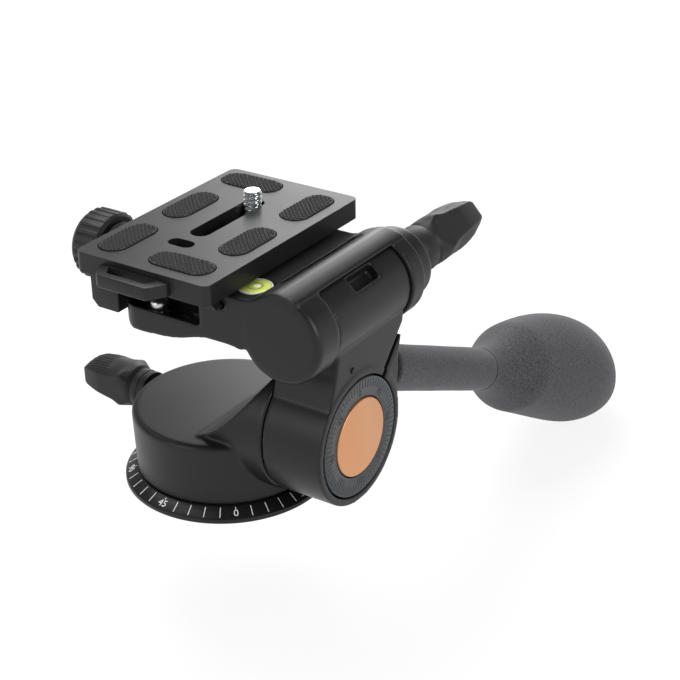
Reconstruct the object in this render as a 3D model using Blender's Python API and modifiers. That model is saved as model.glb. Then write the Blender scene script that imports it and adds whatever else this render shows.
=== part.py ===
"""Three-way camera head with a short foam-ball handle, built piece by piece.

Metres, +Z up. The origin is the centre of the base underside, on the pan axis.
+X runs along the tilt shaft towards its cap, +Y runs back towards the handle.
"""

import math

import bmesh
import bpy
from mathutils import Matrix, Vector

# Shared clearances and counts
GAP = 0.0003
SLACK = 0.0010
OVERCUT = 0.0020
WELD_DISTANCE = 0.00002
FINE = 48
MEDIUM = 32
COARSE = 16

# Pan axis stack
BASE_RADIUS = 0.0300
BASE_RIM_HEIGHT = 0.0014
BASE_RIM_BREAK = 0.0003
SCALE_OUTER_RADIUS = 0.0296
SCALE_OUTER_Z = 0.0017
SCALE_INNER_RADIUS = 0.0263
BASE_TOP_Z = 0.0036
SOCKET_RADIUS = 0.0070
BUSH_BORE_RADIUS = 0.0043
BUSH_TOP_Z = 0.0082
BUSH_FOOT_Z = 0.0002
SPINDLE_RADIUS = 0.0125
SPINDLE_TOP_Z = 0.0192
SPINDLE_BORE_RADIUS = 0.0068
SHOULDER_LOW_Z = 0.0110
SHOULDER_HIGH_Z = 0.0130
LOCK_Z = 0.0165
BASE_SCREW_CIRCLE = 0.00975
BASE_SCREW_HEAD_RADIUS = 0.0021
BASE_SCREW_HEAD_TOP_Z = 0.0017
BASE_SCREW_SHANK_RADIUS = 0.0012
BASE_SCREW_TOP_Z = 0.0080

# Turret
DRUM_FOOT_RADIUS = 0.0263
DRUM_TOP_RADIUS = 0.0269
DRUM_TOP_Z = 0.0225
DRUM_EDGE = 0.0011
DRUM_EDGE_HALF = 0.0004
BOSS_RADIUS = 0.0200
TILT_Z = 0.0249
SEAM_X = 0.0270
RAMP_START_X = 0.0030
RAMP_TOP_Z = 0.0455
RAMP_POWER = 1.7
RAMP_POINTS = 12
CAVITY_TOP_Z = 0.0195
HUB_STEM_RADIUS = 0.0065
WASHER_INNER_RADIUS = 0.0132
WASHER_OUTER_RADIUS = 0.0242
WASHER_THICKNESS = 0.0006
RETAINER_HEAD_RADIUS = 0.0050
RETAINER_HEAD_HEIGHT = 0.0019
RETAINER_SHANK_RADIUS = 0.0025
RETAINER_TOP_Z = 0.0180

# Tilt shaft, dial and cap
SHAFT_ROOT_X = 0.0198
SHAFT_ROOT_RADIUS = 0.0062
SHAFT_RADIUS = 0.0110
SHAFT_END_X = 0.0412
SHAFT_TAP_RADIUS = 0.0028
SHAFT_TAP_X = 0.0300
ARM_FACE_X = 0.0461
ARM_HUB_RADIUS = 0.0198
DIAL_RADIUS = 0.0172
DIAL_POCKET_RADIUS = 0.0177
DIAL_WEB = 0.0010
DIAL_SCREW_POCKET_RADIUS = 0.0095
DIAL_CAP_POCKET_RADIUS = 0.0117
DIAL_CAP_SEAT_X = 0.0449
CAP_RADIUS = 0.0113
CAP_BACK_X = 0.0452
CAP_FACE_X = 0.0464
SHAFT_SCREW_HEAD_RADIUS = 0.0050
SHAFT_SCREW_HEAD_HEIGHT = 0.0012
SHAFT_SCREW_RADIUS = 0.0025
SHAFT_SCREW_TIP_X = 0.0320
TILT_WASHER_OUTER_RADIUS = 0.0167
TILT_WASHER_THICKNESS = 0.0007

# Roll axis
ROLL_X = 0.0360
ROLL_Z = 0.0609
BARREL_RADIUS = 0.0120
BARREL_FRONT_Y = -0.0117
BARREL_REAR_Y = 0.0228
LUG_FRONT_Y = -0.0222
LUG_REAR_Y = 0.0292
LUG_RADIUS = 0.0127
LUG_EDGE = 0.0018
ROLL_BORE_RADIUS = 0.0065
ROLL_BUSH_WALL = 0.0012
ROLL_BUSH_LENGTH = 0.0080
ROLL_SHAFT_RADIUS = 0.0050
ROOF_INNER_RADIUS = 0.0123
ROOF_OUTER_RADIUS = 0.0134
ROOF_END_ANGLE = math.radians(62.6)
RING_RADIUS = 0.0108
RING_END_Y = 0.0365
RING_EDGE = 0.0010
ROLL_SHAFT_END_Y = 0.0340
ROLL_SHAFT_HEAD_Y = -0.0212

# Lower handle
HANDLE_X = 0.0365
HANDLE_Y = 0.0200
HANDLE_Z = 0.0347
HANDLE_DROOP = math.radians(24.9)
SLOT_ANGLE = math.radians(47.5)
SLOT_WIDTH = 0.0018
SLOT_INNER_RADIUS = 0.0105
SLOT_OUTER_RADIUS = 0.0400
ROD_RADIUS = 0.0040
ROD_INNER_S = -0.0150
ROD_OUTER_S = 0.0980
HANDLE_COLLAR_RADIUS = 0.0060
HANDLE_COLLAR_START_S = 0.0022
HANDLE_COLLAR_END_S = 0.0060
SLEEVE_RADIUS = 0.0068
SLEEVE_END_S = 0.0690
GRIP_START_S = 0.0693
GRIP_END_S = 0.1590
GRIP_BORE_START_S = 0.0600
GRIP_BORE_END_S = 0.1000
ROD_BORE_END_S = 0.0345

# Plate and its dovetail
PLATE_X = -0.0009
PLATE_Y = 0.0032
PLATE_WIDTH = 0.0442
PLATE_LENGTH = 0.0700
PLATE_TOP_Z = 0.0763
PLATE_BOTTOM_Z = 0.0705
PLATE_CORNER = 0.0022
PLATE_EDGE = 0.0012
NECK_HALF = 0.0145
FLARE_HALF = 0.0190
FLARE_FOOT_Z = 0.0660
FLARE_LIP = 0.0008
DOVETAIL_LENGTH = 0.0560
CHANNEL_FLOOR_Z = 0.0656

# Platform
BOWL_LEFT_X = -0.0180
SHOULDER_Z = 0.0699
RIM_Z = 0.0585
RIM_THICKNESS = 0.0015
POCKET_FLOOR_Z = 0.0545
POCKET_CUT_FOOT_Z = 0.0465
POCKET_BACK_Y = -0.0140
POCKET_LEFT_X = -0.0150
POCKET_RIGHT_X = 0.0090

# Clamp
JAW_OUTER_X = -0.0282
JAW_FOOT_Z = 0.0545
JAW_TOP_Z = 0.0701
JAW_FRONT_Y = -0.0213
JAW_REAR_Y = 0.0220
JAW_LIP_GAP = 0.0009
CLAMP_Y = 0.0002
CLAMP_Z = 0.0618
CLAMP_STUD_RADIUS = 0.0025
CLAMP_STUD_TIP_X = -0.0030
CLAMP_STUD_END_X = -0.0433
CLAMP_KNOB_FACE_X = -0.0463
CLAMP_KNOB_RADIUS = 0.0102
CLAMP_KNOB_LENGTH = 0.0100
CLAMP_COLLAR_RADIUS = 0.0078
GUIDE_RADIUS = 0.0015
GUIDE_Z = 0.0620
GUIDE_OUTER_X = -0.0250
GUIDE_INNER_X = -0.0100
GUIDE_FRONT_Y = -0.0100
GUIDE_REAR_Y = 0.0160

# Wing knobs
WING_LENGTH = 0.0193
PAN_AZIMUTH = math.radians(176.5)
PAN_STUD_RADIUS = 0.0032
PAN_STUD_SINK = 0.0058
PAN_COLLAR_RADIUS = 0.0058
PAN_COLLAR_LENGTH = 0.0049
PAN_COLLAR_CLEARANCE = 0.0015
PAN_COLLAR_START = DRUM_TOP_RADIUS + PAN_COLLAR_CLEARANCE
PAN_KNOB_INNER = PAN_COLLAR_START + PAN_COLLAR_LENGTH + GAP
PAN_KNOB_SHARE = 0.94
ROLL_NECK_RADIUS = 0.0070
ROLL_NECK_END_Y = 0.0470
ROLL_KNOB_START_Y = 0.0478
ROLL_KNOB_LENGTH = 0.0262
ROLL_KNOB_SHARE = 1.0


def clear_scene():
    for item in list(bpy.data.objects):
        bpy.data.objects.remove(item, do_unlink=True)


def new_collection(name):
    group = bpy.data.collections.new(name)
    bpy.context.scene.collection.children.link(group)
    return group


def new_material(name, colour, metallic, roughness):
    material = bpy.data.materials.new(name)
    material.use_nodes = True
    shader = material.node_tree.nodes["Principled BSDF"]
    shader.inputs["Base Color"].default_value = (*colour, 1.0)
    shader.inputs["Metallic"].default_value = metallic
    shader.inputs["Roughness"].default_value = roughness
    return material


clear_scene()
PARTS = new_collection("three_way_head")
CUTTERS = new_collection("cutters")

BLACK_PAINT = ((0.030, 0.030, 0.033), 0.0, 0.42)
BLACK_PLASTIC = ((0.022, 0.022, 0.024), 0.0, 0.55)
STEEL = ((0.62, 0.62, 0.63), 1.0, 0.28)
BRASS = ((0.72, 0.55, 0.28), 1.0, 0.35)
COPPER = ((0.83, 0.50, 0.32), 1.0, 0.35)
RUBBER = ((0.015, 0.015, 0.015), 0.0, 0.85)
FOAM = ((0.080, 0.080, 0.085), 0.0, 0.95)
NYLON = ((0.70, 0.69, 0.66), 0.0, 0.50)
LIQUID = ((0.55, 0.62, 0.18), 0.0, 0.12)


def finish_piece(item, finish):
    """Give a piece its own material and put it with the parts."""
    item.data.materials.clear()
    item.data.materials.append(new_material(item.name, *finish))
    PARTS.objects.link(item)
    return item


def finish_cutter(item):
    CUTTERS.objects.link(item)
    item.hide_render = True
    item.display_type = "WIRE"
    return item


def file_away(item, finish):
    if finish is None:
        return finish_cutter(item)
    return finish_piece(item, finish)


def turned(name, profile, finish, origin=(0.0, 0.0, 0.0), axis=(0.0, 0.0, 1.0), steps=MEDIUM, ring=False):
    """Turn a profile of (radius, height) pairs about an axis through origin."""
    work = bmesh.new()
    points = [work.verts.new((radius, 0.0, height)) for radius, height in profile]
    for first, second in zip(points, points[1:]):
        work.edges.new((first, second))
    if ring:
        work.edges.new((points[-1], points[0]))
    mesh = bpy.data.meshes.new(name)
    work.to_mesh(mesh)
    work.free()
    item = bpy.data.objects.new(name, mesh)
    screw = item.modifiers.new("Screw", "SCREW")
    screw.axis = "Z"
    screw.steps = steps
    screw.render_steps = steps
    screw.use_merge_vertices = True
    screw.merge_threshold = 0.000001
    screw.use_smooth_shade = True
    item.rotation_mode = "QUATERNION"
    item.rotation_quaternion = Vector(axis).to_track_quat("Z", "Y")
    item.location = origin
    return file_away(item, finish)


def rod(name, radius, start, end, finish, steps=MEDIUM, edge=0.0):
    """A plain round bar between two points, with its ends broken by edge."""
    start = Vector(start)
    end = Vector(end)
    length = (end - start).length
    if edge > 0.0:
        profile = [
            (0.0, length),
            (radius - edge, length),
            (radius, length - edge),
            (radius, edge),
            (radius - edge, 0.0),
            (0.0, 0.0),
        ]
    else:
        profile = [(0.0, length), (radius, length), (radius, 0.0), (0.0, 0.0)]
    return turned(name, profile, finish, start, (end - start) / length, steps)


def sleeve(name, outer, inner, start, end, finish, steps=MEDIUM):
    """A plain round tube between two points."""
    start = Vector(start)
    end = Vector(end)
    length = (end - start).length
    profile = [(outer, length), (outer, 0.0), (inner, 0.0), (inner, length)]
    return turned(name, profile, finish, start, (end - start) / length, steps, ring=True)


def block(name, low, high, finish):
    """A box between two opposite corners."""
    work = bmesh.new()
    size = Vector(high) - Vector(low)
    centre = (Vector(high) + Vector(low)) / 2.0
    bmesh.ops.create_cube(work, size=1.0, matrix=Matrix.Diagonal((*size, 1.0)))
    mesh = bpy.data.meshes.new(name)
    work.to_mesh(mesh)
    work.free()
    item = bpy.data.objects.new(name, mesh)
    item.location = centre
    return file_away(item, finish)


def extruded(name, outline, plane, start, end, finish, origin=(0.0, 0.0, 0.0)):
    """Extrude a closed outline. Plane names the outline's two axes, start and end run along the third."""
    curve = bpy.data.curves.new(name, "CURVE")
    curve.dimensions = "2D"
    curve.fill_mode = "BOTH"
    curve.extrude = abs(end - start) / 2.0
    spline = curve.splines.new("POLY")
    spline.points.add(len(outline) - 1)
    for point, (first, second) in zip(spline.points, outline):
        point.co = (first, second, 0.0, 1.0)
    spline.use_cyclic_u = True
    sketch = bpy.data.objects.new(name + "_sketch", curve)
    bpy.context.scene.collection.objects.link(sketch)
    graph = bpy.context.evaluated_depsgraph_get()
    mesh = bpy.data.meshes.new_from_object(sketch.evaluated_get(graph))
    bpy.data.objects.remove(sketch, do_unlink=True)
    middle = (start + end) / 2.0
    turns = {
        "XY": Matrix(((1, 0, 0, 0), (0, 1, 0, 0), (0, 0, 1, middle), (0, 0, 0, 1))),
        "XZ": Matrix(((1, 0, 0, 0), (0, 0, 1, middle), (0, 1, 0, 0), (0, 0, 0, 1))),
        "YZ": Matrix(((0, 0, 1, middle), (1, 0, 0, 0), (0, 1, 0, 0), (0, 0, 0, 1))),
    }
    mesh.transform(turns[plane])
    mesh.transform(Matrix.Translation(-Vector(origin)))
    work = bmesh.new()
    work.from_mesh(mesh)
    bmesh.ops.remove_doubles(work, verts=work.verts, dist=0.000001)
    bmesh.ops.recalc_face_normals(work, faces=work.faces)
    work.to_mesh(mesh)
    work.free()
    item = bpy.data.objects.new(name, mesh)
    item.location = origin
    return file_away(item, finish)


def combine(item, tool, operation):
    change = item.modifiers.new(operation.title(), "BOOLEAN")
    change.operation = operation
    change.solver = "EXACT"
    change.object = tool
    return item


def cut(item, *tools):
    for tool in tools:
        combine(item, tool, "DIFFERENCE")
    return item


def join(item, *tools):
    for tool in tools:
        combine(item, tool, "UNION")
    return item


def bevel(item, width, segments=2, angle=math.radians(40.0)):
    edge = item.modifiers.new("Edges", "BEVEL")
    edge.width = width
    edge.segments = segments
    edge.limit_method = "ANGLE"
    edge.angle_limit = angle
    return item


def weld(item):
    """Close the hairline seams that several cuts leave."""
    seam = item.modifiers.new("Seams", "WELD")
    seam.merge_threshold = WELD_DISTANCE
    return item


def pill_outline(centre_x, centre_y, half_length, half_width, along, count=8):
    """A slot outline with round ends, lying along x or y."""
    straight = half_length - half_width
    points = []
    for step in range(count + 1):
        turn = -math.pi / 2.0 + math.pi * step / count
        points.append((straight + half_width * math.cos(turn), half_width * math.sin(turn)))
    for step in range(count + 1):
        turn = math.pi / 2.0 + math.pi * step / count
        points.append((-straight + half_width * math.cos(turn), half_width * math.sin(turn)))
    if along == "y":
        points = [(-second, first) for first, second in points]
    return [(centre_x + first, centre_y + second) for first, second in points]


def rounded_outline(centre_x, centre_y, width, length, corner, count=4):
    """A rectangle outline with round corners."""
    points = []
    for quarter in range(4):
        turn = quarter * math.pi / 2.0
        side_x = 1.0 if quarter in (0, 3) else -1.0
        side_y = 1.0 if quarter in (0, 1) else -1.0
        middle_x = centre_x + side_x * (width / 2.0 - corner)
        middle_y = centre_y + side_y * (length / 2.0 - corner)
        for step in range(count + 1):
            angle = turn + math.pi / 2.0 * step / count
            points.append((middle_x + corner * math.cos(angle), middle_y + corner * math.sin(angle)))
    return points


def lofted(name, sections, finish, origin, axis, broad):
    """Skin between sections (height, half_broad, half_thin, squareness), from round foot to flat blade."""
    along = Vector(axis).normalized()
    wide = Vector(broad).normalized()
    thin = along.cross(wide)
    work = bmesh.new()
    rows = []
    for height, half_broad, half_thin, square in sections:
        row = []
        for step in range(MEDIUM):
            turn = 2.0 * math.pi * step / MEDIUM
            cosine = math.cos(turn)
            sine = math.sin(turn)
            reach = math.copysign(abs(cosine) ** (2.0 / square), cosine)
            rise = math.copysign(abs(sine) ** (2.0 / square), sine)
            row.append(work.verts.new(along * height + wide * half_broad * reach + thin * half_thin * rise))
        rows.append(row)
    for lower, upper in zip(rows, rows[1:]):
        for step in range(MEDIUM):
            after = (step + 1) % MEDIUM
            work.faces.new((lower[step], lower[after], upper[after], upper[step]))
    work.faces.new(list(reversed(rows[0])))
    work.faces.new(rows[-1])
    bmesh.ops.recalc_face_normals(work, faces=work.faces)
    for face in work.faces:
        face.smooth = len(face.verts) == 4
    mesh = bpy.data.meshes.new(name)
    work.to_mesh(mesh)
    work.free()
    item = bpy.data.objects.new(name, mesh)
    item.location = origin
    return file_away(item, finish)


# Base: scale disc, threaded bush, spindle and its three screws
base_disc = turned(
    "base_disc",
    [
        (SOCKET_RADIUS, BASE_TOP_Z),
        (SCALE_INNER_RADIUS, BASE_TOP_Z),
        (SCALE_OUTER_RADIUS, SCALE_OUTER_Z),
        (BASE_RADIUS, BASE_RIM_HEIGHT),
        (BASE_RADIUS, BASE_RIM_BREAK),
        (BASE_RADIUS - BASE_RIM_BREAK, 0.0),
        (SOCKET_RADIUS, 0.0),
    ],
    BLACK_PAINT,
    steps=FINE,
    ring=True,
)
thread_bush = sleeve(
    "thread_bush",
    SOCKET_RADIUS - GAP,
    BUSH_BORE_RADIUS,
    (0.0, 0.0, BUSH_FOOT_Z),
    (0.0, 0.0, BUSH_TOP_Z),
    BRASS,
)
pan_spindle = turned(
    "pan_spindle",
    [
        (SPINDLE_RADIUS, SPINDLE_TOP_Z),
        (SPINDLE_RADIUS, BASE_TOP_Z + GAP),
        (SOCKET_RADIUS, BASE_TOP_Z + GAP),
        (SOCKET_RADIUS, SHOULDER_LOW_Z),
        (RETAINER_SHANK_RADIUS + GAP, SHOULDER_LOW_Z),
        (RETAINER_SHANK_RADIUS + GAP, SHOULDER_HIGH_Z),
        (SPINDLE_BORE_RADIUS, SHOULDER_HIGH_Z),
        (SPINDLE_BORE_RADIUS, SPINDLE_TOP_Z),
    ],
    STEEL,
    ring=True,
)
for number in (1, 2, 3):
    bearing = math.radians(30.0 + 120.0 * number)
    screw_x = BASE_SCREW_CIRCLE * math.cos(bearing)
    screw_y = BASE_SCREW_CIRCLE * math.sin(bearing)
    screw_hole = turned(
        f"cut_base_screw_{number}",
        [
            (0.0, BASE_SCREW_TOP_Z + GAP),
            (BASE_SCREW_SHANK_RADIUS + GAP, BASE_SCREW_TOP_Z + GAP),
            (BASE_SCREW_SHANK_RADIUS + GAP, BASE_SCREW_HEAD_TOP_Z + GAP),
            (BASE_SCREW_HEAD_RADIUS + GAP, BASE_SCREW_HEAD_TOP_Z + GAP),
            (BASE_SCREW_HEAD_RADIUS + GAP, -OVERCUT),
            (0.0, -OVERCUT),
        ],
        None,
        origin=(screw_x, screw_y, 0.0),
        steps=COARSE,
    )
    cut(base_disc, screw_hole)
    cut(pan_spindle, screw_hole)
    turned(
        f"base_screw_{number}",
        [
            (0.0, BASE_SCREW_TOP_Z),
            (BASE_SCREW_SHANK_RADIUS, BASE_SCREW_TOP_Z),
            (BASE_SCREW_SHANK_RADIUS, BASE_SCREW_HEAD_TOP_Z),
            (BASE_SCREW_HEAD_RADIUS, BASE_SCREW_HEAD_TOP_Z),
            (BASE_SCREW_HEAD_RADIUS, BUSH_FOOT_Z),
            (0.0, BUSH_FOOT_Z),
        ],
        STEEL,
        origin=(screw_x, screw_y, 0.0),
        steps=COARSE,
    )

# Turret: drum and shaft boss under one hollow ramp
RAMP_RUN = SEAM_X - RAMP_START_X
RAMP_RISE = RAMP_TOP_Z - DRUM_TOP_Z
boss_outline = [(0.0, DRUM_TOP_Z - DRUM_EDGE)]
for step in range(RAMP_POINTS + 1):
    share = step / RAMP_POINTS
    boss_outline.append((RAMP_START_X + share * RAMP_RUN, DRUM_TOP_Z - GAP + RAMP_RISE * share**RAMP_POWER))
boss_outline.append((SEAM_X, BASE_TOP_Z + GAP))
boss_outline.append((0.0, BASE_TOP_Z + GAP))
ramp_tool = extruded("tool_ramp", boss_outline, "XZ", -2.0 * BOSS_RADIUS, 2.0 * BOSS_RADIUS, None)
boss_tool = rod(
    "tool_boss", BOSS_RADIUS, (0.0, 0.0, TILT_Z), (SEAM_X, 0.0, TILT_Z), None, FINE
)
combine(boss_tool, ramp_tool, "INTERSECT")
pan_body = turned(
    "pan_body",
    [
        (0.0, DRUM_TOP_Z),
        (DRUM_TOP_RADIUS - DRUM_EDGE, DRUM_TOP_Z),
        (DRUM_TOP_RADIUS - DRUM_EDGE_HALF, DRUM_TOP_Z - DRUM_EDGE_HALF),
        (DRUM_TOP_RADIUS, DRUM_TOP_Z - DRUM_EDGE),
        (DRUM_FOOT_RADIUS, BASE_TOP_Z + GAP),
        (0.0, BASE_TOP_Z + GAP),
    ],
    BLACK_PAINT,
    steps=FINE,
)
WASHER_ROOF_Z = BASE_TOP_Z + GAP + WASHER_THICKNESS + GAP
pan_cavity = turned(
    "cut_pan_cavity",
    [
        (0.0, RETAINER_TOP_Z + GAP),
        (RETAINER_SHANK_RADIUS + GAP, RETAINER_TOP_Z + GAP),
        (RETAINER_SHANK_RADIUS + GAP, SHOULDER_HIGH_Z + GAP),
        (HUB_STEM_RADIUS, SHOULDER_HIGH_Z + GAP),
        (HUB_STEM_RADIUS, CAVITY_TOP_Z),
        (SPINDLE_RADIUS + GAP, CAVITY_TOP_Z),
        (SPINDLE_RADIUS + GAP, WASHER_ROOF_Z),
        (WASHER_OUTER_RADIUS + GAP, WASHER_ROOF_Z),
        (WASHER_OUTER_RADIUS + GAP, -OVERCUT),
        (0.0, -OVERCUT),
    ],
    None,
)
pan_shaft_bore = rod(
    "cut_shaft_root",
    SHAFT_ROOT_RADIUS + GAP,
    (SHAFT_ROOT_X - GAP, 0.0, TILT_Z),
    (SEAM_X + OVERCUT, 0.0, TILT_Z),
    None,
)
pan_direction = Vector((math.cos(PAN_AZIMUTH), math.sin(PAN_AZIMUTH), 0.0))
pan_lock_centre = Vector((0.0, 0.0, LOCK_Z))
pan_lock_bore = rod(
    "cut_pan_lock",
    PAN_STUD_RADIUS - SLACK + GAP,
    pan_lock_centre + pan_direction * (SPINDLE_RADIUS - GAP),
    pan_lock_centre + pan_direction * (DRUM_TOP_RADIUS + OVERCUT),
    None,
)
seam_face = block(
    "cut_seam_face",
    (SEAM_X, -2.0 * DRUM_TOP_RADIUS, -OVERCUT),
    (SEAM_X + DRUM_TOP_RADIUS, 2.0 * DRUM_TOP_RADIUS, DRUM_TOP_Z + OVERCUT),
    None,
)
cut(pan_body, seam_face)
join(pan_body, boss_tool)
cut(pan_body, pan_cavity, pan_shaft_bore, pan_lock_bore)
weld(pan_body)
thrust_washer = sleeve(
    "thrust_washer",
    WASHER_OUTER_RADIUS,
    WASHER_INNER_RADIUS,
    (0.0, 0.0, BASE_TOP_Z + GAP),
    (0.0, 0.0, BASE_TOP_Z + GAP + WASHER_THICKNESS),
    NYLON,
)
retaining_screw = turned(
    "retaining_screw",
    [
        (0.0, RETAINER_TOP_Z),
        (RETAINER_SHANK_RADIUS, RETAINER_TOP_Z),
        (RETAINER_SHANK_RADIUS, SHOULDER_LOW_Z - GAP),
        (RETAINER_HEAD_RADIUS, SHOULDER_LOW_Z - GAP),
        (RETAINER_HEAD_RADIUS, SHOULDER_LOW_Z - GAP - RETAINER_HEAD_HEIGHT),
        (0.0, SHOULDER_LOW_Z - GAP - RETAINER_HEAD_HEIGHT),
    ],
    STEEL,
    steps=COARSE,
)

# Pan lock: threaded stud and wing knob on a radial axis
STUD_THREAD_RADIUS = PAN_STUD_RADIUS - SLACK
STUD_FLANGE_GAP = 0.0012
pan_stud_start = SPINDLE_RADIUS + GAP
pan_stud_flange = DRUM_TOP_RADIUS + STUD_FLANGE_GAP
pan_stud_end = PAN_KNOB_INNER + PAN_STUD_SINK
pan_lock_stud = turned(
    "pan_lock_stud",
    [
        (0.0, pan_stud_end),
        (PAN_STUD_RADIUS, pan_stud_end),
        (PAN_STUD_RADIUS, pan_stud_flange),
        (STUD_THREAD_RADIUS, pan_stud_flange),
        (STUD_THREAD_RADIUS, pan_stud_start),
        (0.0, pan_stud_start),
    ],
    STEEL,
    origin=pan_lock_centre,
    axis=pan_direction,
    steps=COARSE,
)
pan_lock_collar = sleeve(
    "pan_lock_collar",
    PAN_COLLAR_RADIUS,
    PAN_STUD_RADIUS + GAP,
    pan_lock_centre + pan_direction * PAN_COLLAR_START,
    pan_lock_centre + pan_direction * (PAN_KNOB_INNER - GAP),
    BLACK_PLASTIC,
)
WING_SECTIONS = (
    (0.00, 0.0060, 0.0060, 2.0),
    (0.05, 0.0067, 0.0068, 2.0),
    (0.20, 0.0068, 0.0069, 2.0),
    (0.38, 0.0067, 0.0068, 2.0),
    (0.55, 0.0066, 0.0066, 2.1),
    (0.70, 0.0064, 0.0061, 2.3),
    (0.84, 0.0058, 0.0053, 2.6),
    (0.93, 0.0053, 0.0044, 3.0),
    (1.00, 0.0048, 0.0033, 3.4),
)


def wing_knob(name, length, girth_share, origin, axis, broad):
    """A round foot that flattens into a finger blade."""
    sections = [
        (share * length, girth_share * half_broad, girth_share * half_thin, square)
        for share, half_broad, half_thin, square in WING_SECTIONS
    ]
    return lofted(name, sections, BLACK_PLASTIC, origin, axis, broad)


pan_lock_knob = wing_knob(
    "pan_lock_knob",
    WING_LENGTH,
    PAN_KNOB_SHARE,
    pan_lock_centre + pan_direction * PAN_KNOB_INNER,
    pan_direction,
    pan_direction.cross(Vector((0.0, 0.0, 1.0))),
)
pan_knob_bore = rod(
    "cut_pan_knob",
    PAN_STUD_RADIUS + GAP,
    pan_lock_centre + pan_direction * (PAN_KNOB_INNER - OVERCUT),
    pan_lock_centre + pan_direction * (pan_stud_end + GAP),
    None,
    COARSE,
)
cut(pan_lock_knob, pan_knob_bore)

# Tilt shaft, degree dial, shaft screw and copper cap
tilt_shaft = turned(
    "tilt_shaft",
    [
        (0.0, SHAFT_TAP_X),
        (SHAFT_TAP_RADIUS, SHAFT_TAP_X),
        (SHAFT_TAP_RADIUS, SHAFT_END_X),
        (SHAFT_RADIUS, SHAFT_END_X),
        (SHAFT_RADIUS, SEAM_X + GAP),
        (SHAFT_ROOT_RADIUS, SEAM_X + GAP),
        (SHAFT_ROOT_RADIUS, SHAFT_ROOT_X),
        (0.0, SHAFT_ROOT_X),
    ],
    STEEL,
    origin=(0.0, 0.0, TILT_Z),
    axis=(1.0, 0.0, 0.0),
)
dial_back_x = SHAFT_END_X + GAP
tilt_dial = turned(
    "tilt_dial",
    [
        (DIAL_CAP_POCKET_RADIUS, ARM_FACE_X),
        (DIAL_RADIUS - GAP, ARM_FACE_X),
        (DIAL_RADIUS, ARM_FACE_X - GAP),
        (DIAL_RADIUS, dial_back_x),
        (SHAFT_TAP_RADIUS, dial_back_x),
        (SHAFT_TAP_RADIUS, dial_back_x + DIAL_WEB),
        (DIAL_SCREW_POCKET_RADIUS, dial_back_x + DIAL_WEB),
        (DIAL_SCREW_POCKET_RADIUS, DIAL_CAP_SEAT_X),
        (DIAL_CAP_POCKET_RADIUS, DIAL_CAP_SEAT_X),
    ],
    BLACK_PAINT,
    origin=(0.0, 0.0, TILT_Z),
    axis=(1.0, 0.0, 0.0),
    steps=FINE,
    ring=True,
)
shaft_screw_seat = dial_back_x + DIAL_WEB + GAP
shaft_screw = turned(
    "shaft_screw",
    [
        (0.0, shaft_screw_seat + SHAFT_SCREW_HEAD_HEIGHT),
        (SHAFT_SCREW_HEAD_RADIUS, shaft_screw_seat + SHAFT_SCREW_HEAD_HEIGHT),
        (SHAFT_SCREW_HEAD_RADIUS, shaft_screw_seat),
        (SHAFT_SCREW_RADIUS, shaft_screw_seat),
        (SHAFT_SCREW_RADIUS, SHAFT_SCREW_TIP_X),
        (0.0, SHAFT_SCREW_TIP_X),
    ],
    STEEL,
    origin=(0.0, 0.0, TILT_Z),
    axis=(1.0, 0.0, 0.0),
    steps=COARSE,
)
shaft_cap = turned(
    "shaft_cap",
    [
        (0.0, CAP_FACE_X),
        (CAP_RADIUS - GAP, CAP_FACE_X),
        (CAP_RADIUS, CAP_FACE_X - GAP),
        (CAP_RADIUS, CAP_BACK_X),
        (0.0, CAP_BACK_X),
    ],
    COPPER,
    origin=(0.0, 0.0, TILT_Z),
    axis=(1.0, 0.0, 0.0),
)

# Tilt arm: split hub, web and roll barrel
tilt_centre = (0.0, 0.0, TILT_Z)
ARM_OUTLINE = (
    (-0.0150, 0.0350),
    (-0.0140, 0.0390),
    (-0.0127, 0.0424),
    (-0.0107, 0.0477),
    (-0.0094, 0.0540),
    (-0.0092, ROLL_Z),
    (0.0228, ROLL_Z),
    (0.0228, 0.0535),
    (0.0222, 0.0490),
    (0.0214, 0.0462),
    (0.0208, 0.0440),
    (0.0203, 0.0420),
    (0.0199, 0.0355),
    (0.0194, 0.0282),
    (0.0100, 0.0200),
    (-0.0100, 0.0250),
)
arm_hub = rod(
    "tool_arm_hub",
    ARM_HUB_RADIUS,
    (SEAM_X + GAP, 0.0, TILT_Z),
    (ARM_FACE_X, 0.0, TILT_Z),
    None,
    FINE,
    edge=0.0006,
)
arm_barrel = rod(
    "tool_arm_barrel",
    BARREL_RADIUS,
    (ROLL_X, BARREL_FRONT_Y, ROLL_Z),
    (ROLL_X, BARREL_REAR_Y, ROLL_Z),
    None,
    FINE,
)
tilt_arm = extruded(
    "tilt_arm", ARM_OUTLINE, "YZ", SEAM_X + GAP, ARM_FACE_X - GAP, BLACK_PAINT, origin=tilt_centre
)
join(tilt_arm, arm_hub, arm_barrel)
arm_shaft_bore = rod(
    "cut_arm_shaft",
    SHAFT_RADIUS + GAP,
    (SEAM_X - OVERCUT, 0.0, TILT_Z),
    (ARM_FACE_X + OVERCUT, 0.0, TILT_Z),
    None,
)
arm_dial_bore = rod(
    "cut_arm_dial",
    DIAL_POCKET_RADIUS,
    (SHAFT_END_X, 0.0, TILT_Z),
    (ARM_FACE_X + OVERCUT, 0.0, TILT_Z),
    None,
    FINE,
)
arm_washer_bore = rod(
    "cut_arm_washer",
    TILT_WASHER_OUTER_RADIUS + GAP,
    (SEAM_X - OVERCUT, 0.0, TILT_Z),
    (SEAM_X + GAP + TILT_WASHER_THICKNESS + GAP, 0.0, TILT_Z),
    None,
)
slot_middle = (SLOT_INNER_RADIUS + SLOT_OUTER_RADIUS) / 2.0
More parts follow.
